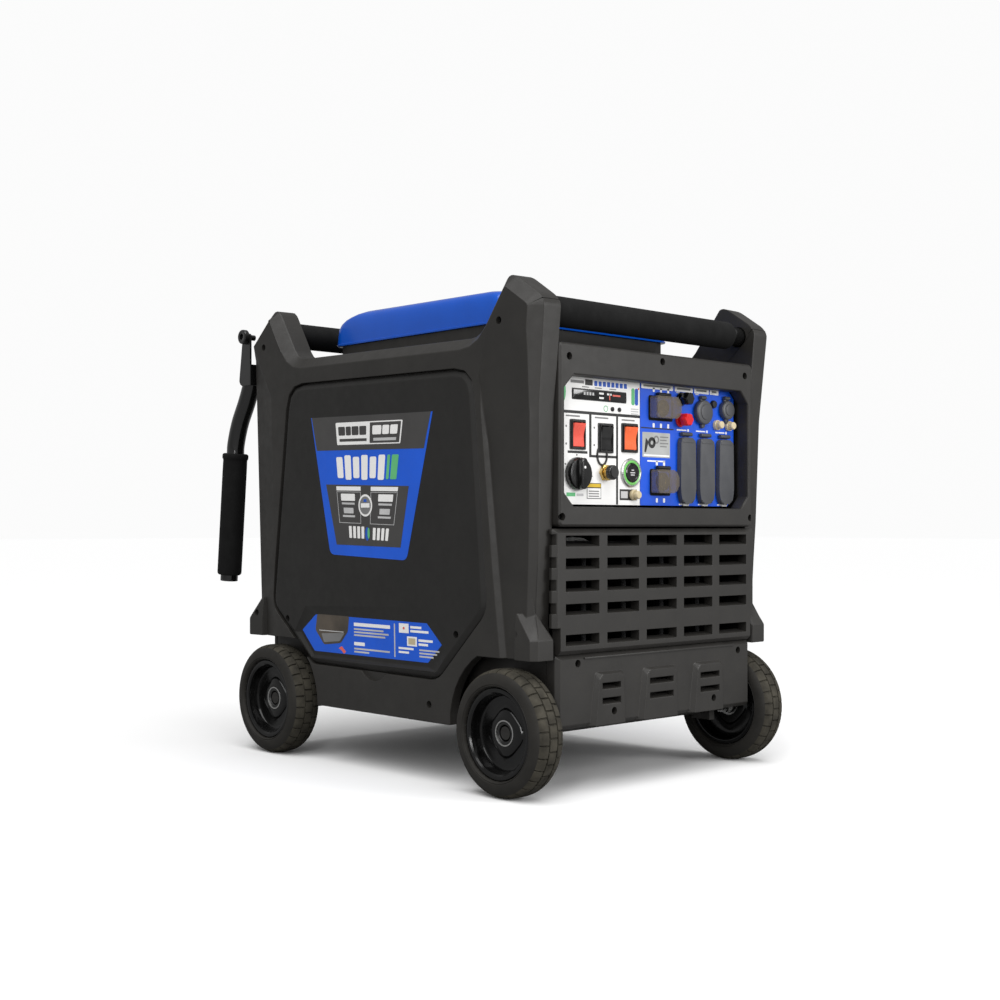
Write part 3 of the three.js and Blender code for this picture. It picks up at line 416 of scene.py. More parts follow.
look("dark_steel", "steel", (0.06, 0.058, 0.055), 0.45, 0.9, grain=0.05, stretch=(1, 1, 12))
look("silver", "plate_white", (0.5, 0.51, 0.5), 0.35, 0.5, grain=0.02)
look("grey_cover", "cover_grey", (0.062, 0.064, 0.07), 0.42, mottle=0.08, grain=0.06)
look("red", "red", (0.7, 0.012, 0.015), 0.28, grain=0.02)
# the red and orange switch looks carry a faint emission: a painted glow on switch paddles that are no lamps
look("painted_glow_red", "red", (0.78, 0.1, 0.07), 0.25, grain=0.02,
     Emission_Color=(0.9, 0.12, 0.07, 1), Emission_Strength=0.15)
look("orange", "orange", (0.85, 0.13, 0.04), 0.25, grain=0.02,
     Emission_Color=(0.95, 0.2, 0.05, 1), Emission_Strength=0.15)
look("cream", "cream", (0.62, 0.52, 0.33), 0.35, grain=0.02)
look("brass", "brass", (0.6, 0.42, 0.14), 0.25, 1.0, grain=0.02)
look("green_light", "plate_white", (0.16, 0.5, 0.12), 0.3, grain=0.02,
     Emission_Color=(0.2, 0.6, 0.12, 1), Emission_Strength=0.2)
look("smoked", "smoked_clear", (0.2, 0.17, 0.135), 0.12, mottle=0.05, grain=0.02, Alpha=0.42,
     Coat_Weight=0.5)


def wear(names):
    """CAD nodes that stay as they are take their material here."""
    for node, name in names.items():
        for slot in frame["nodes"][node].material_slots:
            slot.material = LOOKS[name][0]


wear({
    "engine_block": "alloy", "crankshaft_rotor": "steel", "alternator_stator": "steel",
    "muffler": "steel", "air_cleaner": "cover", "inverter_module": "dark_alloy", "battery": "cover",
    "front_axle": "dark_steel", "rear_axle": "dark_steel", "fuel_tank_lower": "tank",
    "engine_faceplate": "white", "outlet_faceplate": "plate_blue", "top_deck": "charcoal",
    "base_pan": "charcoal",
})


# ---------- body shells ----------
SIDE_SCREWS = [(-146, 99), (99, 97), (-253, 572), (236, 560), (257, 193), (-279, 195)]
COVER_SCREWS = [(-204, 190), (152, 187)]
FRONT_SCREWS = [(-166.5, 518), (166.5, 518), (-178, 330), (178, 330), (0, 524)]
VENT_SCREWS = [(-148, 157, 0), (157, 155, 0), (-90, 97, 5), (100, 97, 5)]
SCREW_R = 4.6
SCREW_DEPTH = 7


def holes(places, reach=12):
    parts = []
    for where in places:
        hole = slab(circle(0, 0, SCREW_R, 16), SCREW_DEPTH + reach, base=-SCREW_DEPTH)
        hole.transform(where)
        parts.append(hole)
    return merge(*parts)


def screw_head(r=SCREW_R - 0.5):
    """Pan head with a hexagonal recess."""
    rim = [(r, 0), (r, 1.2), (r - 0.9, 2.0), (r * 0.55, 2.2)]
    return lathe([*rim, (r * 0.5, 0.9), (0, 0.9)], 24,
                 lambda a, q, w: (q * (1 - 0.08 * (q < r * 0.56) * abs(math.cos(3 * a))), w))


def screws(name, places, body="root"):
    parts = []
    for where in places:
        head = moved(screw_head(), w=-SCREW_DEPTH + 0.2)
        head.transform(where)
        parts.append(head)
    put(name, merge(*parts), None, "gloss", body)


for side_name, side in SIDES.items():
    frame_screws = [side_plane(side, x, z) for x, z in SIDE_SCREWS]
    refined(f"side_frame_{side_name}", "charcoal", 1.3, holes(frame_screws))
    screws(f"side_screws_{side_name}", frame_screws)
    cover_screws = [side_plane(side, x, z, COVER_PROUD) for x, z in COVER_SCREWS]
    refined(f"side_cover_{side_name}", "cover", 1.1, holes(cover_screws))
    screws(f"cover_screws_{side_name}", cover_screws)

bezel_screws = [facing(at(BEZEL_X, y, z), Y, Z) for y, z in FRONT_SCREWS]
refined("control_bezel", "charcoal", 1.0, holes(bezel_screws))
screws("bezel_screws", bezel_screws)
refined("louver_grille", "charcoal", 0.6)
vent_screws = [facing(at(VENT_X + out, y, z), Y, Z) for y, z, out in VENT_SCREWS]
refined("lower_vent_cover", "charcoal", 1.2, holes(vent_screws))
ridge = slab(rect(-138, 147, 161.4, 163.8, 1.2), 1.6, 0.8)
put("vent_ridge", ridge, facing(at(VENT_X - 0.1, 0, 0), Y, Z), "charcoal")
screws("vent_screws", vent_screws)
refined("rear_panel", "charcoal", 0.8)
refined("handle_bracket", "gloss", 0.6)


# ---------- fuel tank ----------
def tank_top():
    """A pressed tank half: steep walls, a tight brow and a crowned top that falls to the front."""
    low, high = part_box("fuel_tank_upper")
    rear, front, half = (low.x - MID) / MM, (high.x - MID) / MM, high.y / MM
    seat = low.z / MM
    rings = [(3, 2, 0, 22), (0.6, 0, 0.4, 24), (0.4, -3, 2.6, 24), (1.6, -2, 3.4, 23),
             (1.8, -1, 14, 23), (2.4, 1, 24, 22), (3.2, 5, 31, 24), (4.2, 12, 36, 26),
             (5.4, 21, 39.5, 28), (7.8, 32, 42.6, 28), (12, 46, 45, 26), (20, 62, 46.6, 22),
             (40, 84, 48, 16), (80, 112, 49, 12), (130, 150, 49.4, 8)]
    bm = bmesh.new()
    rows = []
    for inset, rear_inset, rise, radius in rings:
        back, right = rear + rear_inset, half - inset
        corners = [(back, -right), (front - inset, -right), (front - inset, right), (back, right)]
        row = []
        for p in rounded(corners, radius, 10):
            along = max(0.0, (p.x + 40) / 215)
            lip = 4.5 * min(1.0, max(0.0, (p.x - 118) / 10))
            change = (lip - 9.5 * along ** 1.5) * min(1.0, rise / 38)
            row.append(bm.verts.new((p.x, p.y, seat + rise + change)))
        rows.append(row)
    loft(bm, rows)
    bmesh.ops.recalc_face_normals(bm, faces=bm.faces)
    return bm


def tank():
    cup = middle("fuel_cap")
    u, v = (cup.x - MID) / MM, cup.y / MM
    floor = (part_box("fuel_tank_upper")[1].z / MM) - 20
    work = workpiece(tank_top(), "tank_work")
    drilled(work, slab(circle(u, v, 43.5, 64), 60, base=floor))
    bm = bmesh.new()
    bm.from_mesh(work.data)
    bpy.data.objects.remove(work)
    flat = facing(at(0, 0, 0), X, Y)
    put("fuel_tank_pressing", bm, flat, "tank", stands_for=["fuel_tank_upper"], sharp=40)
    lip = lathe([(42.2, floor + 0.3), (42.2, floor + 19.5), (43.0, floor + 21.2), (44.6, floor + 21.6),
                 (46.4, floor + 20.6), (46.4, floor + 19), (43.4, floor + 19), (43.4, floor + 0.3)], 64)
    put("filler_cup_lip", lip, facing(at(u, v, 0), X, Y), "tank")
    ribs = lambda a, r, w: (r - (0.9 if math.cos(36 * a) > 0 and 3 < w < 13 and r > 30 else 0), w)
    cap = lathe([(0, 0.4), (30, 0.4), (32, 2), (32, 3.2), (32, 12.8), (31, 14.6), (28.5, 16), (22, 16.2),
                 (21, 15), (8, 15), (7, 16.2), (0, 16.6)], 144, ribs)
    put("fuel_cap_moulding", cap, facing(at(u, v, floor), X, Y), "satin", "fuel_cap", ["fuel_cap"])
    grip = slab(rect(-24, 24, -4, 4, 3.5), 4.5, 1.5, base=15)
    put("fuel_cap_bar", grip, facing(at(u, v, floor), X, Y), "satin", "fuel_cap")


tank()


# ---------- lifting grips ----------
def lifting_grip(name, sleeve_end):
    """Foam over a gloss tube; the foam's ends are rounded and it has a faint seam."""
    low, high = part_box(name)
    centre = (low + high) / 2
    tube_r, sleeve_r = 12.7, 18.0
    reach = (high.y - low.y) / 2 / MM
    inner = reach - 8.5
    where = facing(Vector((centre.x, 0, centre.z)), Z, X)
    put(f"{name}_tube", lathe([(0, -reach), (tube_r, -reach), (tube_r, reach), (0, reach)], 40), where,
        "gloss", stands_for=[name])
    end = sleeve_end if sleeve_end else inner
    crease = lambda a, r, w: (r - 0.7 * math.exp(-((a - 4.2) / 0.05) ** 2) * (r > 16), w)
    profile = [(tube_r + 0.1, -inner), (sleeve_r - 2, -inner), (sleeve_r - 0.5, -inner + 1.2),
               (sleeve_r, -inner + 3)]
    profile += [(sleeve_r, -inner + 3 + k * (end + inner - 6) / 12) for k in range(1, 13)]
    profile += [(sleeve_r - 0.5, end - 1.2), (sleeve_r - 2, end), (tube_r + 0.1, end)]
    put(f"{name}_sleeve", lathe(profile, 96, crease), where, "foam")


lifting_grip("front_grip", 159)
lifting_grip("rear_grip", None)


# ---------- wheels ----------
WHEEL_R = 76
HALF = 22.5
BLOCKS = 30
GROOVE = 2.3
TREAD_FROM = 71.5             # the paler tread rubber starts at this radius


def tyre_mesh():
    """Three staggered rows of tread blocks over a rounded carcass."""
    fractions = [0, 0.03, 0.13, 0.16, 0.33, 0.5, 0.53, 0.63, 0.66, 0.83]
    turns = [2 * math.pi * (b + f) / BLOCKS for b in range(BLOCKS) for f in fractions]
    widths = [0, 3, 5.4, 5.7, 7.2, 7.5, 10, 13, 15.5, 15.8, 17.2, 18.6, 20, 21.2, 22.1, 22.5]
    crown = [(WHEEL_R - 17 * (1 - math.sqrt(max(0.0, 1 - (w / HALF) ** 4))), w) for w in widths]
    wall = [(58.6, 22.5), (58.0, 21.7), (57.4, 21.7), (56.8, 22.3), (56, 21.6), (55.2, 19), (55.2, 15.5),
            (52, 15.2)]
    half = crown + wall
    profile = [(r, -w) for r, w in reversed(half)] + half[1:]

    def tread(angle, r, w):
        part = (angle / (2 * math.pi) * BLOCKS + 1e-6) % 1
        across = abs(w)
        centre_cut = across < 5.5 and 0.02 < part < 0.14
        outer_cut = 7.3 < across < 18 and 0.52 < part < 0.64
        ring_cut = 5.6 < across < 7.3
        return (r - GROOVE if centre_cut or outer_cut or ring_cut else r, w)

    return lathe(profile, turns, tread)


def rim_mesh():
    """Pressed rim: rolled lip, deep dish, and a lobed hub flange on both faces."""
    face = [(51.6, 14.8), (53.6, 15.2), (54.2, 17), (53.4, 18.8), (51.5, 19.3), (49, 18.9),
            (47.2, 17.2), (46, 12), (45, 6), (43.5, 3.6), (41, 2.8), (30, 2.8), (27.6, 3.2),
            (26.2, 5.2), (24.4, 6.2), (16, 6.5), (16, 4)]
    back = [(r, -w) for r, w in reversed(face)]
    lobes = lambda a, r, w: (r + (1.7 * math.cos(4 * a) if 20 < r < 30 else 0), w)
    return lathe(face + back, 96, lobes)


def bearing_mesh():
    return lathe([(13.6, -6.4), (15.7, -6.4), (15.7, 6.4), (15.4, 7.0), (13.9, 7.0), (13.6, 6.2)], 64)


def seal_mesh():
    return lathe([(9.9, -6), (13.6, -6), (13.6, 5.6), (12.8, 6.0), (10.4, 6.0), (9.9, 5.4)], 48)


def wheel(end_name, side_name):
    side = SIDES[side_name]
    centre = middle(f"{end_name}_rim_{side_name}")
    where = facing(centre, X * -side, Z)
    body = f"{end_name}_wheel_{side_name}"
    name = f"{end_name}_{side_name}"
    tyre = put(f"tyre_{name}", tyre_mesh(), where, "rubber", body, [f"{end_name}_tyre_{side_name}"], 40)
    tyre.data.materials.append(LOOKS["tread"][0])
    for face in tyre.data.polygons:
        from_axis = math.hypot(face.center.x - centre.x, face.center.z - centre.z) / MM
        face.material_index = int(from_axis > TREAD_FROM)
    put(f"rim_{name}", rim_mesh(), where, "rim", body, [f"{end_name}_rim_{side_name}"])
    put(f"bearing_{name}", bearing_mesh(), where, "steel", body)
    put(f"bearing_seal_{name}", seal_mesh(), where, "satin", body)
    washer = lathe([(8.3, -12.5), (13, -12.5), (13, -10.5), (8.3, -10.5)], 40)
    nut = slab(circle(0, 0, 12.5, 6), 8, 1.0, base=-20.5)
    put(f"axle_washer_{name}", merge(washer, nut), where, "steel")


for end_name in ENDS:
    for side_name in SIDES:
        wheel(end_name, side_name)


# ---------- tow handles ----------
HANDLE_R = 12.75


def handle(side_name):
    side = SIDES[side_name]
    body = f"tow_handle_{side_name}"
    pivot = pivot_of(body)
    hang = math.radians(5.4)
    down = Vector((-math.sin(hang), 0, -math.cos(hang)))
    elbow = Vector((-45, 0, -96))
    knots = [Vector((4, 0, 6)), Vector((-2, 0, -8)), Vector((-16, 0, -36)), Vector((-34, 0, -66)), elbow,
             elbow + down * 20, elbow + down * 60]
    path = []
    for a, b, c, d in zip(knots, knots[1:], knots[2:], knots[3:]):
        for k in range(8):
            t = k / 8
            path.append(0.5 * (2 * b + (c - a) * t + (2 * a - 5 * b + 4 * c - d) * t * t
                               + (3 * b - a - 3 * c + d) * t ** 3))
    path += [elbow + down * d for d in (30, 60, 100, 150, 201, 203)]
    where = Matrix.Translation(pivot) @ Matrix.Scale(MM, 4)
    arm = tube(path, HANDLE_R, 32)
    put(f"tow_arm_{side_name}", arm, where, "gloss", body, [f"handle_arm_{side_name}"], 40)
    boss = lathe([(5.4, -HANDLE_R), (11, -HANDLE_R), (12.6, -11.5), (HANDLE_R, 0), (12.6, 11.5),
                  (11, HANDLE_R), (5.4, HANDLE_R)], 32)
    put(f"tow_boss_{side_name}", boss, facing(pivot, X * -side, Z), "gloss", body)
    collar = [(12.85, 14), (16.6, 14), (18.6, 15.2), (19, 17), (19, 21), (18, 22.6), (17.6, 24)]
    barrel = [(17.75, 24 + k * 16.6) for k in range(1, 10)]
    end = [(17.75, 190), (17.2, 192.6), (15.5, 194), (12.85, 194)]
    along = facing(pivot + elbow * MM, Y, Y.cross(down) * -1)
    put(f"tow_sleeve_{side_name}", lathe(collar + barrel + end, 40), along, "foam", body,
        [f"handle_grip_{side_name}"])
    low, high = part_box(f"handle_lock_knob_{side_name}")
    face_y = low.y if side < 0 else high.y
    centre = (low + high) / 2
    knob_frame = facing(Vector((centre.x, face_y, centre.z)), X * -side, Z)
    knob = lathe([(0, -4.4), (4.6, -4.4), (4.8, -0.6), (6.5, 0), (8.6, 0), (9.9, -0.9),
                  (10.4, -2.4), (10.4, -7.4), (4, -7.6), (4, -22.5), (0, -22.5)], 36,
                 lambda a, r, w: (r * (1 - 0.1 * abs(math.cos(3 * a))) if r < 5 and w > -5 else r, w))
    put(f"lock_knob_{side_name}_turned", knob, knob_frame, "gloss", f"lock_knob_{side_name}",
        [f"handle_lock_knob_{side_name}"])


for side_name in SIDES:
    handle(side_name)


# ---------- printed graphics ----------
class Print:
    """Flat printed shapes on one face; each ink becomes one thin piece."""

    def __init__(self, name, where, base=0.0):
        self.name, self.where, self.base, self.inks = name, where, base, {}

    def shape(self, ink, points, level=1):
        layer = slab(points, INK, base=self.base + (level - 1) * INK)
        self.inks.setdefault(ink, []).append(layer)

    def bar(self, ink, u0, u1, v0, v1, level=1, radius=0.0):
        self.shape(ink, rect(u0, u1, v0, v1, radius), level)

    def ring(self, ink, outer, inner, level=1):
        layer = ring_plate(outer, inner, INK, self.base + (level - 1) * INK)
        self.inks.setdefault(ink, []).append(layer)

    def done(self):
        for ink, layers in self.inks.items():
            put(f"{self.name}_{ink}", merge(*layers), self.where, ink)


def large_decal(side_name):
    """Tapered decal: grey head, blue band, dark rating panel. All wording is plain bars."""
    side = SIDES[side_name]
    out = COVER_PROUD + 0.05
    quad = [(-124, -92.5), (-85, -277.5), (76, -283), (131, -98)]
    art = Print(f"decal_{side_name}", side_plane(side, 16 * side, 558.5, out))

    def q(s, t):
        tl, bl, br, tr = (Vector(p) for p in quad)
        return bl.lerp(br, s).lerp(tl.lerp(tr, s), t)

    def patch(ink, s0, s1, t0, t1, level=1, radius=0.0):
        art.shape(ink, rounded([q(s0, t0), q(s1, t0), q(s1, t1), q(s0, t1)], radius), level)

    def outlined(s0, s1, t0, t1, width):
        outer = [q(s0, t0), q(s1, t0), q(s1, t1), q(s0, t1)]
        middle_point = sum(outer, Vector((0, 0))) / 4
        inner = [p + (middle_point - p).normalized() * width * 1.4 for p in outer]
        art.ring("pale_ink", outer, inner, 3)

    body = [(*q(0, 1), 0), (*q(0, 0), 9), (*q(1, 0), 9), (*q(1, 1), 0)]
    art.shape("decal_blue", rounded(body))
    head = [q(0.012, 0.757), q(0.982, 0.757), q(0.988, 1), q(0.006, 1)]
    art.shape("decal_grey", head, 2)
    art.shape("decal_grey", [q(0.105, 0.075), q(0.905, 0.085), q(0.90, 0.505), q(0.062, 0.51)], 2)
    patch("white", 0.215, 0.778, 0.795, 0.955, 3, 2)
    patch("decal_grey", 0.512, 0.768, 0.803, 0.947, 4, 1)
    for s0, wide in ((0.235, 0.06), (0.302, 0.045), (0.354, 0.06), (0.421, 0.06)):
        patch("decal_grey", s0, s0 + wide, 0.862, 0.925, 4, 2)
    for s0, wide in ((0.535, 0.075), (0.62, 0.055), (0.685, 0.06)):
        patch("white", s0, s0 + wide, 0.862, 0.925, 5, 2)
    patch("decal_grey", 0.24, 0.485, 0.818, 0.838, 4)
    patch("pale_ink", 0.545, 0.74, 0.818, 0.838, 5)
    for k, s in enumerate((0.195, 0.275, 0.355, 0.435, 0.515, 0.595)):
        tall = 0.0 if k % 2 else 0.012
        patch("white", s, s + 0.06, 0.545 + tall, 0.72 - tall, 3, 3)
    for s, wide in ((0.675, 0.025), (0.715, 0.06)):
        patch("green_ink", s, s + wide, 0.55, 0.72, 3, 2)
    for s0, s1, middle_s in ((0.17, 0.425, 0.2875), (0.53, 0.80, 0.685)):
        patch("white", s0, s1, 0.468, 0.497, 3)
        outlined(s0, s1, 0.235, 0.46, 0.7)
        patch("white", middle_s - 0.075, middle_s + 0.075, 0.395, 0.445, 3, 1)
        patch("pale_ink", middle_s - 0.07, middle_s + 0.07, 0.368, 0.382, 3)
        patch("pale_ink", middle_s - 0.055, middle_s + 0.055, 0.305, 0.345, 3, 1)
        patch("pale_ink", middle_s - 0.07, middle_s + 0.07, 0.278, 0.292, 3)
    badge = q(0.475, 0.365)
    art.shape("white", circle(badge.x, badge.y, 14.5), 4)
    art.shape("grey_ink", circle(badge.x, badge.y, 11.8), 5)
    art.bar("white", badge.x - 9, badge.x + 9, badge.y - 2.8, badge.y + 2.8, 6)
    art.bar("blue_ink", badge.x - 3, badge.x + 3, badge.y + 4.5, badge.y + 8, 6)
    for k in range(4):
        patch("white", 0.28 + k * 0.05, 0.312 + k * 0.05, 0.13, 0.215, 3, 1)
        patch("white", 0.565 + k * 0.05, 0.597 + k * 0.05, 0.125, 0.21, 3, 1)
    drop = q(0.505, 0.165)
    art.shape("blue_ink", circle(drop.x - 1.2, drop.y, 4.2, 24, 2.1), 3)
    art.shape("green_ink", circle(drop.x + 2.0, drop.y + 1, 2.4, 24, 3.0), 4)
    art.done()


def small_decal(side_name):
    """Hexagonal decal in the cover's lower pocket."""
    side = SIDES[side_name]
    fit = 1.0 if side < 0 else 0.95
    where = side_plane(side, -28, 174, COVER_PROUD - POCKET + 0.1) @ Matrix.Diagonal((fit, fit, 1, 1))
    art = Print(f"hex_decal_{side_name}", where)
    art.shape("decal_blue", [(-148, 2.5), (-119, -26), (121, -26), (148, -2), (118, 25), (-113, 25.5)])
    art.done()
    stretch = Matrix.Translation((15.7, 0, 0)) @ Matrix.Diagonal((1.14, 1, 1, 1))
    art = Print(f"hex_decal_art_{side_name}", where @ stretch)
    machine = [(-112, 24.8), (-116, 3), (-99, -16), (-66, -12), (-52, 4), (-49, 24.6)]
    art.shape("brown_ink", rounded(machine, 3), 2)
    art.shape("grey_ink", rounded([(-104, -1), (-99, -13), (-68, -9.5), (-58, 2)], 2), 3)
    art.bar("pale_ink", -108, -60, 2.5, 3.6, 3)
    art.shape("red_ink", rounded([(-70, -19), (-64, -16), (-56, -23), (-60, -26), (-64, -22)], 1), 2)
    art.bar("white", -40, 27, 12.5, 17, 2)
    for v, wide in ((7.5, 55), (3.5, 64), (-0.5, 58)):
        art.bar("pale_ink", -40, -40 + wide, v, v + 2.2, 2)
    art.bar("white", -40, -20, -13, -8.5, 2)
    for v, wide in ((-18.5, 66), (-22.5, 28)):
        art.bar("pale_ink", -40, -40 + wide, v, v + 2.2, 2)
    art.bar("pale_ink", 34, 36, -23, 20, 2)
    art.bar("white", 43, 60, 9, 21, 2)
    art.bar("red_ink", 50, 53, 13.5, 16.5, 3)
    art.bar("white", 63, 82, 15.5, 18.5, 2)
    art.bar("white", 63, 94, 10.5, 13.5, 2)
    art.bar("white", 57, 74, -7, 5, 2)
    art.bar("cream", 59.5, 71.5, -5, 3, 3)
    art.bar("white", 77, 101, -0.5, 2.5, 2)
    art.bar("white", 77, 93, -5.5, -2.5, 2)
    for v, wide in ((-12, 26), (-17, 18)):
        art.bar("white", 42, 42 + wide, v, v + 2.6, 2)
    for v, wide in ((-12, 34), (-16, 30), (-20, 24)):
        art.bar("pale_ink", 78, 78 + wide, v, v + 2, 2)
    art.done()


for side_name in SIDES:
    large_decal(side_name)
    small_decal(side_name)


# ---------- control plates ----------
def white_plate():
    art = Print("engine_plate_print", PLATE)
    art.bar("black_ink", -167.6, -20.2, 453.5, 457, 1)
    art.bar("black_ink", -112, -108, 405, 453.5, 1)
    art.bar("black_ink", -112, -62, 402, 405, 1)
    art.bar("black_ink", -64, -60.5, 345.5, 453.5, 1)
    art.bar("black_ink", -20.4, -19.9, 345.5, 501, 1)
    art.bar("black_ink", -119, -106, 488.5, 495.5, 1, 1)
    art.bar("grey_ink", -144, -121, 490, 493.5, 1)
    for k in range(8):
        art.bar("blue_ink", -103 + k * 7.6, -97.6 + k * 7.6, 488.5, 494.5, 1, 0.8)
    art.ring("green_ink", circle(-176, 479, 24), circle(-177.5, 479, 20.5))
    art.bar("black_ink", -142, -45.5, 470.3, 484, 1, 1)
    for u in (-118, -96, -70):
        art.bar("grey_ink", u - 6, u + 6, 485.6, 486.8, 1)
    art.bar("green_ink", -36, -30, 469, 490, 1, 2.8)
    art.bar("blue_ink", -29.5, -23.5, 469, 490, 1, 2.8)
    art.bar("red_ink", -24, -21.5, 488.5, 491, 1, 1)
    for v in (457.5, 460.5, 463.5):
        art.bar("pale_ink", -37, -23, v, v + 1.4, 1)
    art.ring("green_ink", circle(-82.5, 462, 3.8), circle(-82.5, 462, 3.0))
    for y, z in ((-140, 449.5), (-90, 449.5), (-42, 449)):
        art.bar("grey_ink", y - 12, y + 12, z, z + 1.8, 1)
    art.bar("black_ink", -149, -115, 406, 409, 1)
    for y in (-151.5, -103, -62):
        for z in (417, 438):
            art.bar("grey_ink", y - 1.2, y + 1.2, z - 1.2, z + 1.2, 1)
    art.bar("green_ink", -151, -136, 354.5, 359, 1)
    art.bar("pale_ink", -134, -122, 355, 358, 1)
    art.bar("grey_ink", -112, -106, 378.5, 380, 1)
    art.bar("black_ink", -116, -91, 352, 371, 1)
    art.bar("yellow_ink", -115.2, -91.8, 366, 370.2, 2)
    art.bar("white", -115.2, -91.8, 352.8, 364.8, 2)
    for v in (354.5, 357.5, 360.5):
        art.bar("grey_ink", -113, -95, v, v + 1.3, 3)
    art.bar("black_ink", -57.5, -25.5, 351, 364.5, 1)
    art.bar("pale_ink", -55.5, -43, 353.5, 362, 2)
    art.done()
    screen = slab(rect(-140.6, -46.8, 471.6, 482.6, 1), 1.6, 0.5)
    put("display_window", screen, PLATE, "gloss")
    segments = Print("display_segments", PLATE, 1.6)
    for k in range(4):
        segments.bar("pale_ink", -123 + k * 5, -120 + k * 5, 476.5, 480, 1)
    for u, v in ((-96, 478.6), (-96, 473.2), (-82, 478.4)):
        segments.bar("white", u, u + 8, v, v + 2.2, 1)
    segments.bar("red_ink", -78, -76.5, 472.5, 480.5, 1)
    segments.bar("red_ink", -72, -58, 477.5, 479.5, 1)
    segments.done()
    for k, y in enumerate((-71, -58.5)):
        button = lathe([(0, 2.2), (1.6, 2.2), (2.6, 1.4), (2.8, 0), (0, 0)], 24)
        put(f"display_button_{k + 1}", button, on_plate(y, 462), "satin")


def rocker(node, look_name):
    """A rocker paddle with two dished faces, in a stepped black frame that stays on the plate."""
    low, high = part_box(node)
    pivot = pivot_of(node)
    wide = (high.y - low.y) / MM / 2 - 0.8
    tall = 14.0
    tilt = Matrix.Rotation(math.radians(7), 4, "Y")
    bm = bmesh.new()
    rows = []
    outline = [(-5, -tall + 1.5)]
    for k in range(17):
        v = -tall + k * tall / 8
        dip = 2.2 * math.cos(math.pi * v / (2 * tall)) ** 1.5 if abs(v) < tall else 0
        outline.append((3.8 - dip, v))
    outline.append((-5, tall - 1.5))
    for y, inset in ((-wide, 0.5), (-wide + 0.7, 0), (wide - 0.7, 0), (wide, 0.5)):
        rows.append([bm.verts.new((x - inset, y, z * (1 - inset * 0.02))) for x, z in outline])
    loft(bm, rows)
    where = Matrix.Translation(pivot) @ tilt @ Matrix.Scale(MM, 4)
    put(f"{node}_paddle", bm, where, look_name, node, [node])
    y, z = pivot.y / MM, pivot.z / MM
    hole = rect(y - wide - 0.5, y + wide + 0.5, z - 15.2, z + 15.2, 0.5)
    lip = rect(y - wide - 3.4, y + wide + 3.4, z - 18, z + 18, 1.5)
    step = rect(y - wide - 1.6, y + wide + 1.6, z - 16.4, z + 16.4, 1.0)
    surround = merge(ring_plate(lip, hole, 1.8), ring_plate(step, hole, 1.4, 1.8))
    put(f"{node}_frame", surround, PLATE, "satin")


def start_button():
    where = on_plate(-38, 385)
    collar = lathe([(15.3, 0), (18, 0), (18, 2), (17, 3.4), (15.6, 3.4), (15.3, 3)], 48)
    put("start_collar", collar, where, "steel")
    light_ring = lathe([(12.4, 0), (15.2, 0), (15.2, 3.1), (13.9, 3.8), (12.4, 3.4)], 48)
    put("start_light_ring", light_ring, where, "green_light")
    cap = lathe([(0, -8), (12, -8), (12, 4), (11.2, 5), (9.5, 4.8), (8.8, 4.2), (0, 4.0)], 48)
    put("start_cap", cap, where, "gloss", "start_button", ["start_button"])
    mark = Print("start_mark", where, 4.1)
    for v, wide in ((3.2, 2.2), (0, 4.4), (-2.8, 3.6)):
        mark.bar("pale_ink", -wide, wide, v - 0.7, v + 0.7)
    for ink, layers in mark.inks.items():
        put("start_button_mark", merge(*layers), mark.where, ink, "start_button")


def selector():
    where = on_plate(-133.4, 381.5)
    disc = lathe([(0, 0.4), (20, 0.4), (20, 2.5), (19.4, 6.5), (18.2, 8), (14, 8.4), (0, 8.4)], 72,
                 lambda a, r, w: (r - (0.5 if math.cos(24 * a) > 0.2 and r > 18.9 else 0), w))
    bar = slab(rect(-5.2, 5.2, -18.6, 18.6, 5.0), 6.4, 1.8, base=7.6, segments=3)
    put("selector_disc", merge(disc, bar), where, "gloss", "selector_knob", ["selector_knob"])
    dimple = lathe([(0, 14.15), (1.6, 14.15), (1.6, 13.9), (0, 13.9)], 20)
    put("selector_dimple", dimple, on_plate(-133.4, 389), "white", "selector_knob")
    plate = Print("selector_scale", where)
    for angle in (-60, 0, 60):
        a = math.radians(90 - angle)
        plate.shape("black_ink", circle(22.6 * math.cos(a), 22.6 * math.sin(a), 1.1, 12))
    plate.done()


def gas_inlet():
    where = on_plate(-84, 384)
    nut = slab(circle(0, 0, 10.8, 6), 4, 0.8, base=0.3)
    neck = lathe([(0, 3.9), (7.4, 3.9), (7.4, 5), (6.6, 5.4), (7.4, 5.8), (7.4, 7), (6.6, 7.4),
                  (7.4, 7.8), (7.4, 9), (0, 9)], 36)
    put("gas_inlet_fitting", merge(nut, neck), where, "brass", stands_for=["gas_inlet"])
    ribs = lambda a, r, w: (r - (0.6 if math.cos(16 * a) > 0.3 and 9.8 < w < 14.6 and r > 8.6 else 0), w)
    cap = lathe([(0, 9.3), (8.6, 9.3), (9, 10), (9, 12), (9, 14.4), (8.2, 15.2), (7.2, 15.4),
                 (7.2, 16.4), (6.4, 17), (0, 17)], 96, ribs)
    put("gas_cap_moulding", cap, where, "satin", "gas_inlet_cap", ["gas_inlet_cap"])
    strap = ring_plate(circle(-6, 21, 9.5, 36, 1.35), circle(-6, 21, 7.6, 36, 1.4), 1.4, 0.3)
    put("gas_cap_tether", strap, where, "satin")


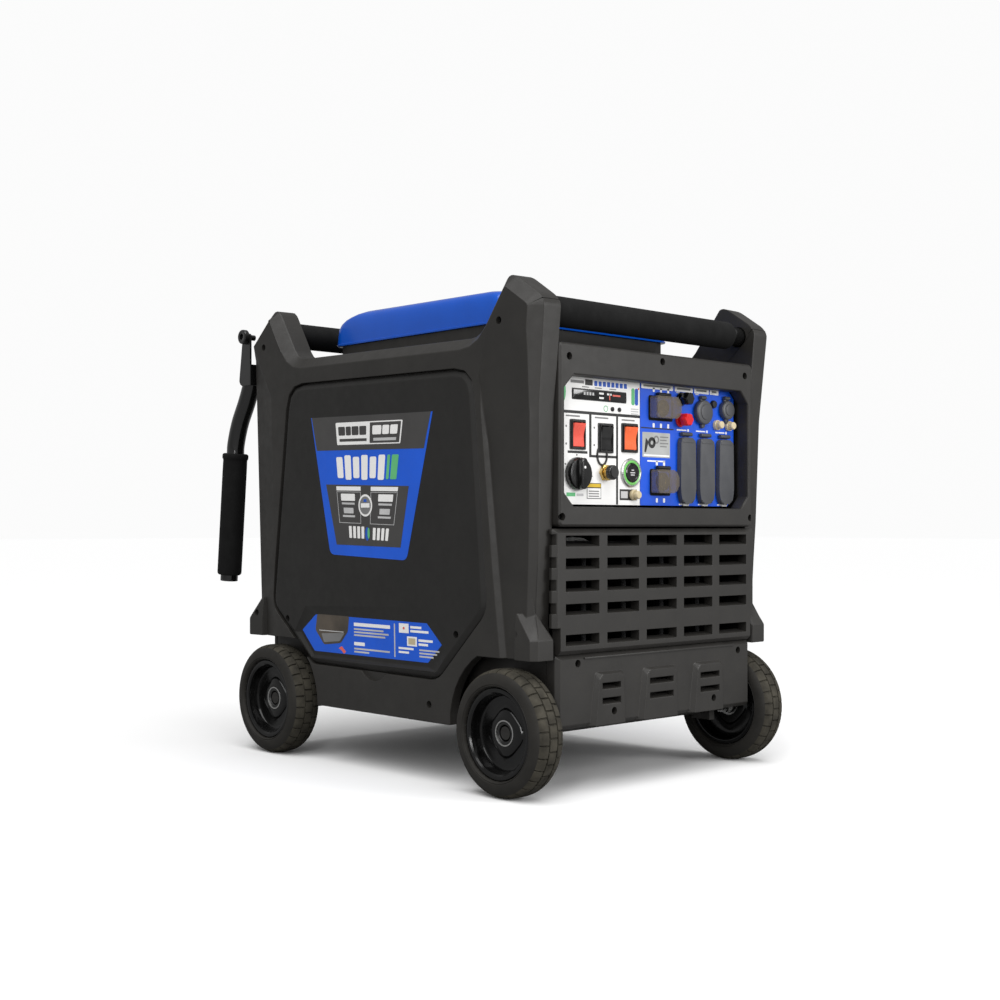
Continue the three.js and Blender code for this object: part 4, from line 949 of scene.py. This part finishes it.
def receptacle(name, y, z, r):
    """Round locking socket: dark face, raised rim and three curved slots."""
    where = on_plate(y, z)
    face = lathe([(0, 0.8), (r - 1.4, 0.8), (r - 1.2, 2.4), (r, 2.4), (r, 0.05), (0, 0.05)], 48)
    put(f"{name}_face", face, where, "satin")
    slots = []
    for k in range(3):
        arc = [math.radians(120 * k + d) for d in (-24, -12, 0, 12, 24)]
        outer = [(0.62 * r * math.cos(a), 0.62 * r * math.sin(a)) for a in arc]
        inner = [(0.5 * r * math.cos(a), 0.5 * r * math.sin(a)) for a in reversed(arc)]
        slots.append(slab([Vector(p) for p in outer + inner], 0.25, base=0.85))
    put(f"{name}_slots", merge(*slots), where, "brass")


def smoked_lid(node, dots):
    """Clear hinged box lid over a locking socket, with a near-black sheet on the plate below and beside it as a
    painted shadow.
    """
    low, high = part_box(node)
    y0, y1 = low.y / MM, high.y / MM
    z0, z1 = low.z / MM, high.z / MM - 5.2
    wide = 2.2
    bow = (z1 - z0) * 0.42
    outer = rounded([(y0, z0, 3), (y1, z0, bow), (y1, z1, bow), (y0, z1, 3)], 0, 8)
    inner = rounded([(y0 + wide, z0 + wide, 2), (y1 - wide, z0 + wide, bow - wide),
                     (y1 - wide, z1 - wide, bow - wide), (y0 + wide, z1 - wide, 2)], 0, 8)
    walls = ring_plate(outer, inner, 10.6, 0.5)
    face = slab(outer, 2.0, 1.6, base=11.1, segments=3)
    put(f"{node}_lid", merge(walls, face), PLATE, "smoked", node, [node])
    hinge_z = pivot_of(node).z / MM
    barrel = lathe([(0, -12), (2.5, -12), (2.5, 12), (0, 12)], 20)
    put(f"{node}_barrel", barrel, across_plate((y0 + y1) / 2, hinge_z), "satin", node)
    receptacle(f"{node}_socket", (y0 + y1) / 2 + 1, (z0 + z1) / 2, (z1 - z0) / 2 - 3.2)
    # painted shadow: a near-black thin sheet, shifted down and towards -Y from the lid's outline
    base = ring_plate(rect(y0 - 2.5, y1 - 3, z0 - 3, z1 + 1.0, 3),
                      rect(y0 + 0.5, y1 - 5, z0 + 0.5, z1 - 2, 3), 0.3)
    put(f"{node}_painted_lid_shadow", base, PLATE, "recess")
    art = Print(f"{node}_dots", PLATE)
    for k in range(dots):
        u = (y0 + y1) / 2 - 2 + (k - (dots - 1) / 2) * 14
        for v in (z1 + 8.2, z0 - 9):
            art.bar("white", u - 1.9, u + 1.9, v - 2.8, v + 2.8, 1, 1.4)
    art.done()


def duplex_lid(node):
    """Tall grey spring lid: domed face, hinge knuckle on top, small pull tab below."""
    low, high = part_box(node)
    y0, y1, z0 = low.y / MM, high.y / MM, low.z / MM
    top = high.z / MM - 5
    left, right = y0 + 2, y1 - 2
    shape = rounded([(left + 4.5, z0, 5), (right - 4.5, z0, 5), (right, z0 + 16, 12),
                     (right - 1, top - 8, 10), (right - 4, top - 2, 5), (left + 4, top - 2, 5),
                     (left + 1, top - 8, 10), (left, z0 + 16, 12)], 0, 6)
    lid = slab(shape, 6.6, 3.2, base=0.4, segments=4)
    centre = (left + right) / 2
    tab = slab(rect(centre - 6, centre + 6, z0 - 3, z0 + 4, 1.5), 2.4, 0.8, base=0.4)
    put(f"{node}_tab", tab, PLATE, "pale_ink", node)
    put(f"{node}_lid", lid, PLATE, "grey_cover", node, [node])
    ridge = slab(rect(left + 4, right - 4, top - 8.5, top - 7, 0.7), 1.0, 0.4, base=6.4)
    put(f"{node}_ridge", ridge, PLATE, "grey_cover", node)
    hinge_z = pivot_of(node).z / MM
    barrel = lathe([(0, -10), (2.4, -10), (2.6, -9), (2.6, 9), (2.4, 10), (0, 10)], 20)
    put(f"{node}_knuckle", barrel, across_plate((y0 + y1) / 2, hinge_z), "grey_cover", node)
    art = Print(f"{node}_mark", PLATE)
    art.bar("white", y0 + 6, y1 - 12, z0 - 1.8, z0 - 0.2, 1)
    art.bar("white", y0 + 2, y1 - 14, hinge_z + 4.4, hinge_z + 6, 1)
    art.bar("white", y1 - 12, y1 - 9, hinge_z + 3.6, hinge_z + 7, 1, 1)
    art.done()


def round_cap(node):
    """Rubber socket cap with a raised disc, hinge strap and pull tab."""
    low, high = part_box(node)
    y, r = (low.y + high.y) / 2 / MM, (high.y - low.y) / 2 / MM
    hinge_z = pivot_of(node).z / MM
    where = on_plate(y, hinge_z - HINGE_OUT - r)
    cap = lathe([(0, 0.5), (r - 0.4, 0.5), (r, 1.2), (r, 6.2), (r - 1, 7.6), (r - 2.6, 8.2), (r * 0.62, 8.2),
                 (r * 0.6, 9.0), (r * 0.54, 9.2), (0, 9.2)], 48)
    tab = slab(rect(-3.4, 3.4, -r - 4.5, -r + 3, 3), 3.0, 1.0, base=1.0)
    strap = slab(rect(-4.6, 4.6, r - 3, r + 3.2, 2), 2.4, 0.8, base=0.6)
    put(f"{node}_moulding", merge(cap, tab, strap), where, "grey_cover", node, [node])
    knuckle = lathe([(0, -5), (2.5, -5), (2.5, 5), (0, 5)], 20)
    put(f"{node}_knuckle", knuckle, across_plate(y, hinge_z), "grey_cover", node)


def terminal(node, look_name):
    low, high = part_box(node)
    centre = (low + high) / 2
    where = on_plate(centre.y / MM, centre.z / MM)
    lobes = lambda a, r, w: (r * (1 + 0.07 * math.cos(6 * a)) if w > 6 and r > 6 else r, w)
    post = lathe([(0, 0.4), (8.8, 0.4), (8.8, 2), (8, 3), (5, 3.2), (5, 6.4), (7.6, 6.6), (8, 7.6),
                  (8, 14.5), (7, 16.6), (0, 16.9)], 60, lobes)
    put(f"{node}_knob", post, where, look_name, node, [node])


def breaker(node):
    low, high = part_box(node)
    centre = (low + high) / 2
    where = on_plate(centre.y / MM, centre.z / MM)
    button = lathe([(0, 0.3), (4.9, 0.3), (5, 5), (5, 9.6), (4.2, 10.8), (0, 11)], 36)
    collar = lathe([(5.3, 0), (6.6, 0), (6.6, 3.6), (6, 4.4), (5.3, 4.2)], 36)
    put(f"{node}_button", button, where, "cream", node, [node])
    put(f"{node}_collar", collar, where, "cream")


def blue_plate():
    art = Print("outlet_plate_print", PLATE)
    for u0, u1 in ((-17.5, 43.5), (47, 83), (86, 116), (118, 136)):
        art.bar("white", u0, u1, 491.5, 499.5, 1, 1)
        art.bar("grey_ink", u0 + 4, u1 - 5, 494, 496.4, 2)
    for y in (45.5, 84.5, 122.5):
        art.bar("decal_blue", y - 0.4, y + 0.4, 444, 497, 1)
    art.bar("black_ink", -18, 44.5, 441.5, 443, 1)
    art.bar("silver", -15.5, 37.5, 405.5, 437, 1, 1.5)
    art.ring("black_ink", circle(2.5, 424, 7), circle(2.5, 424, 2.6), 2)
    art.shape("black_ink", rounded([(-4, 425), (-9, 411), (-12, 412), (-9, 430)], 1.5), 2)
    art.ring("grey_ink", circle(11, 428, 5.2), circle(11, 428, 3.0), 2)
    for k, v in enumerate((431, 427, 423, 419)):
        art.bar("grey_ink", 18, 34 - (k % 2) * 3, v, v + 1.4, 2)
    art.bar("white", -13, 36, 407, 409, 2)
    art.bar("white", -6, 28, 400, 401.8, 1)
    for y in (50, 88):
        art.bar("pale_ink", y, y + 7, 489.5, 491, 1)
    art.done()
    small = lathe([(0, 0.1), (5.2, 0.1), (5.2, 2.5), (4.4, 4), (0, 4.2)], 32)
    put("parallel_port_button", small, on_plate(124, 479), "satin")


white_plate()
blue_plate()
# the engine and economy paddles wear looks with a painted glow
rocker("engine_switch", "painted_glow_red")
rocker("battery_switch", "gloss")
rocker("economy_switch", "orange")
start_button()
selector()
gas_inlet()
smoked_lid("locking_outlet_cover_upper", 3)
smoked_lid("locking_outlet_cover_lower", 2)
for number in (1, 2, 3):
    duplex_lid(f"duplex_cover_{number}")
    breaker(f"breaker_button_{number}")
round_cap("dc_socket_cap")
round_cap("usb_socket_cap")
terminal("terminal_red", "red")
terminal("terminal_black", "gloss")


# ---------- studio ----------
def camera():
    data = bpy.data.cameras.new("camera")
    data.lens, data.sensor_width, data.shift_y = 51.76, 36, 0.0254
    data.clip_end = 50
    shot = bpy.data.objects.new("camera", data)
    bpy.context.scene.collection.objects.link(shot)
    shot.location = at(1467.0, -1371.5, 319.9)
    shot.rotation_euler = (math.radians(90), 0, math.radians(46.97))
    bpy.context.scene.camera = shot


def light(name, place, target, size, power):
    data = bpy.data.lights.new(name, "AREA")
    data.shape, data.size, data.size_y = "RECTANGLE", size[0], size[1]
    data.energy = power
    lamp = bpy.data.objects.new(name, data)
    bpy.context.scene.collection.objects.link(lamp)
    lamp.location = place
    lamp.rotation_euler = (Vector(target) - Vector(place)).to_track_quat("-Z", "Y").to_euler()


def sun(name, toward, energy, spread):
    """A soft light that shines along one direction."""
    data = bpy.data.lights.new(name, "SUN")
    data.energy, data.angle = energy, math.radians(spread)
    lamp = bpy.data.objects.new(name, data)
    bpy.context.scene.collection.objects.link(lamp)
    lamp.rotation_euler = Vector(toward).to_track_quat("-Z", "Y").to_euler()


def white_for_camera(tree, shader_type, socket, seen, felt):
    """Two shaders of one kind: what the camera sees, and what lights the object."""
    path = tree.nodes.new("ShaderNodeLightPath")
    mix = tree.nodes.new("ShaderNodeMixShader")
    tree.links.new(path.outputs["Is Camera Ray"], mix.inputs[0])
    for slot, tone in ((1, felt), (2, seen)):
        shader = tree.nodes.new(shader_type)
        shader.inputs[socket].default_value = (tone, tone, tone, 1)
        tree.links.new(shader.outputs[0], mix.inputs[slot])
    return mix.outputs[0]


def studio():
    bpy.ops.mesh.primitive_grid_add(x_subdivisions=8, y_subdivisions=8, size=60)
    floor = bpy.context.object
    floor.name = "floor"
    paint = bpy.data.materials.new("floor")
    paint.use_nodes = True
    tree = paint.node_tree
    out = white_for_camera(tree, "ShaderNodeBsdfDiffuse", "Color", 0.92, 0.3)
    tree.links.new(out, tree.nodes["Material Output"].inputs["Surface"])
    floor.data.materials.append(paint)
    world = bpy.data.worlds.new("studio")
    bpy.context.scene.world = world
    world.use_nodes = True
    out = white_for_camera(world.node_tree, "ShaderNodeBackground", "Color", 0.97, 0.4)
    world.node_tree.links.new(out, world.node_tree.nodes["World Output"].inputs["Surface"])
    sun("overhead", (-0.3, 0.25, -1), 2.3, 60)
    light("corner_strip", (1.7, -2.1, 1.2), (0.1, 0, 0.35), (0.35, 1.6), 20)
    light("front_fill", (2.6, 0.9, 1.0), (0.2, 0, 0.42), (1.0, 1.0), 34)
    bpy.context.scene.view_settings.view_transform = "Standard"


camera()
studio()
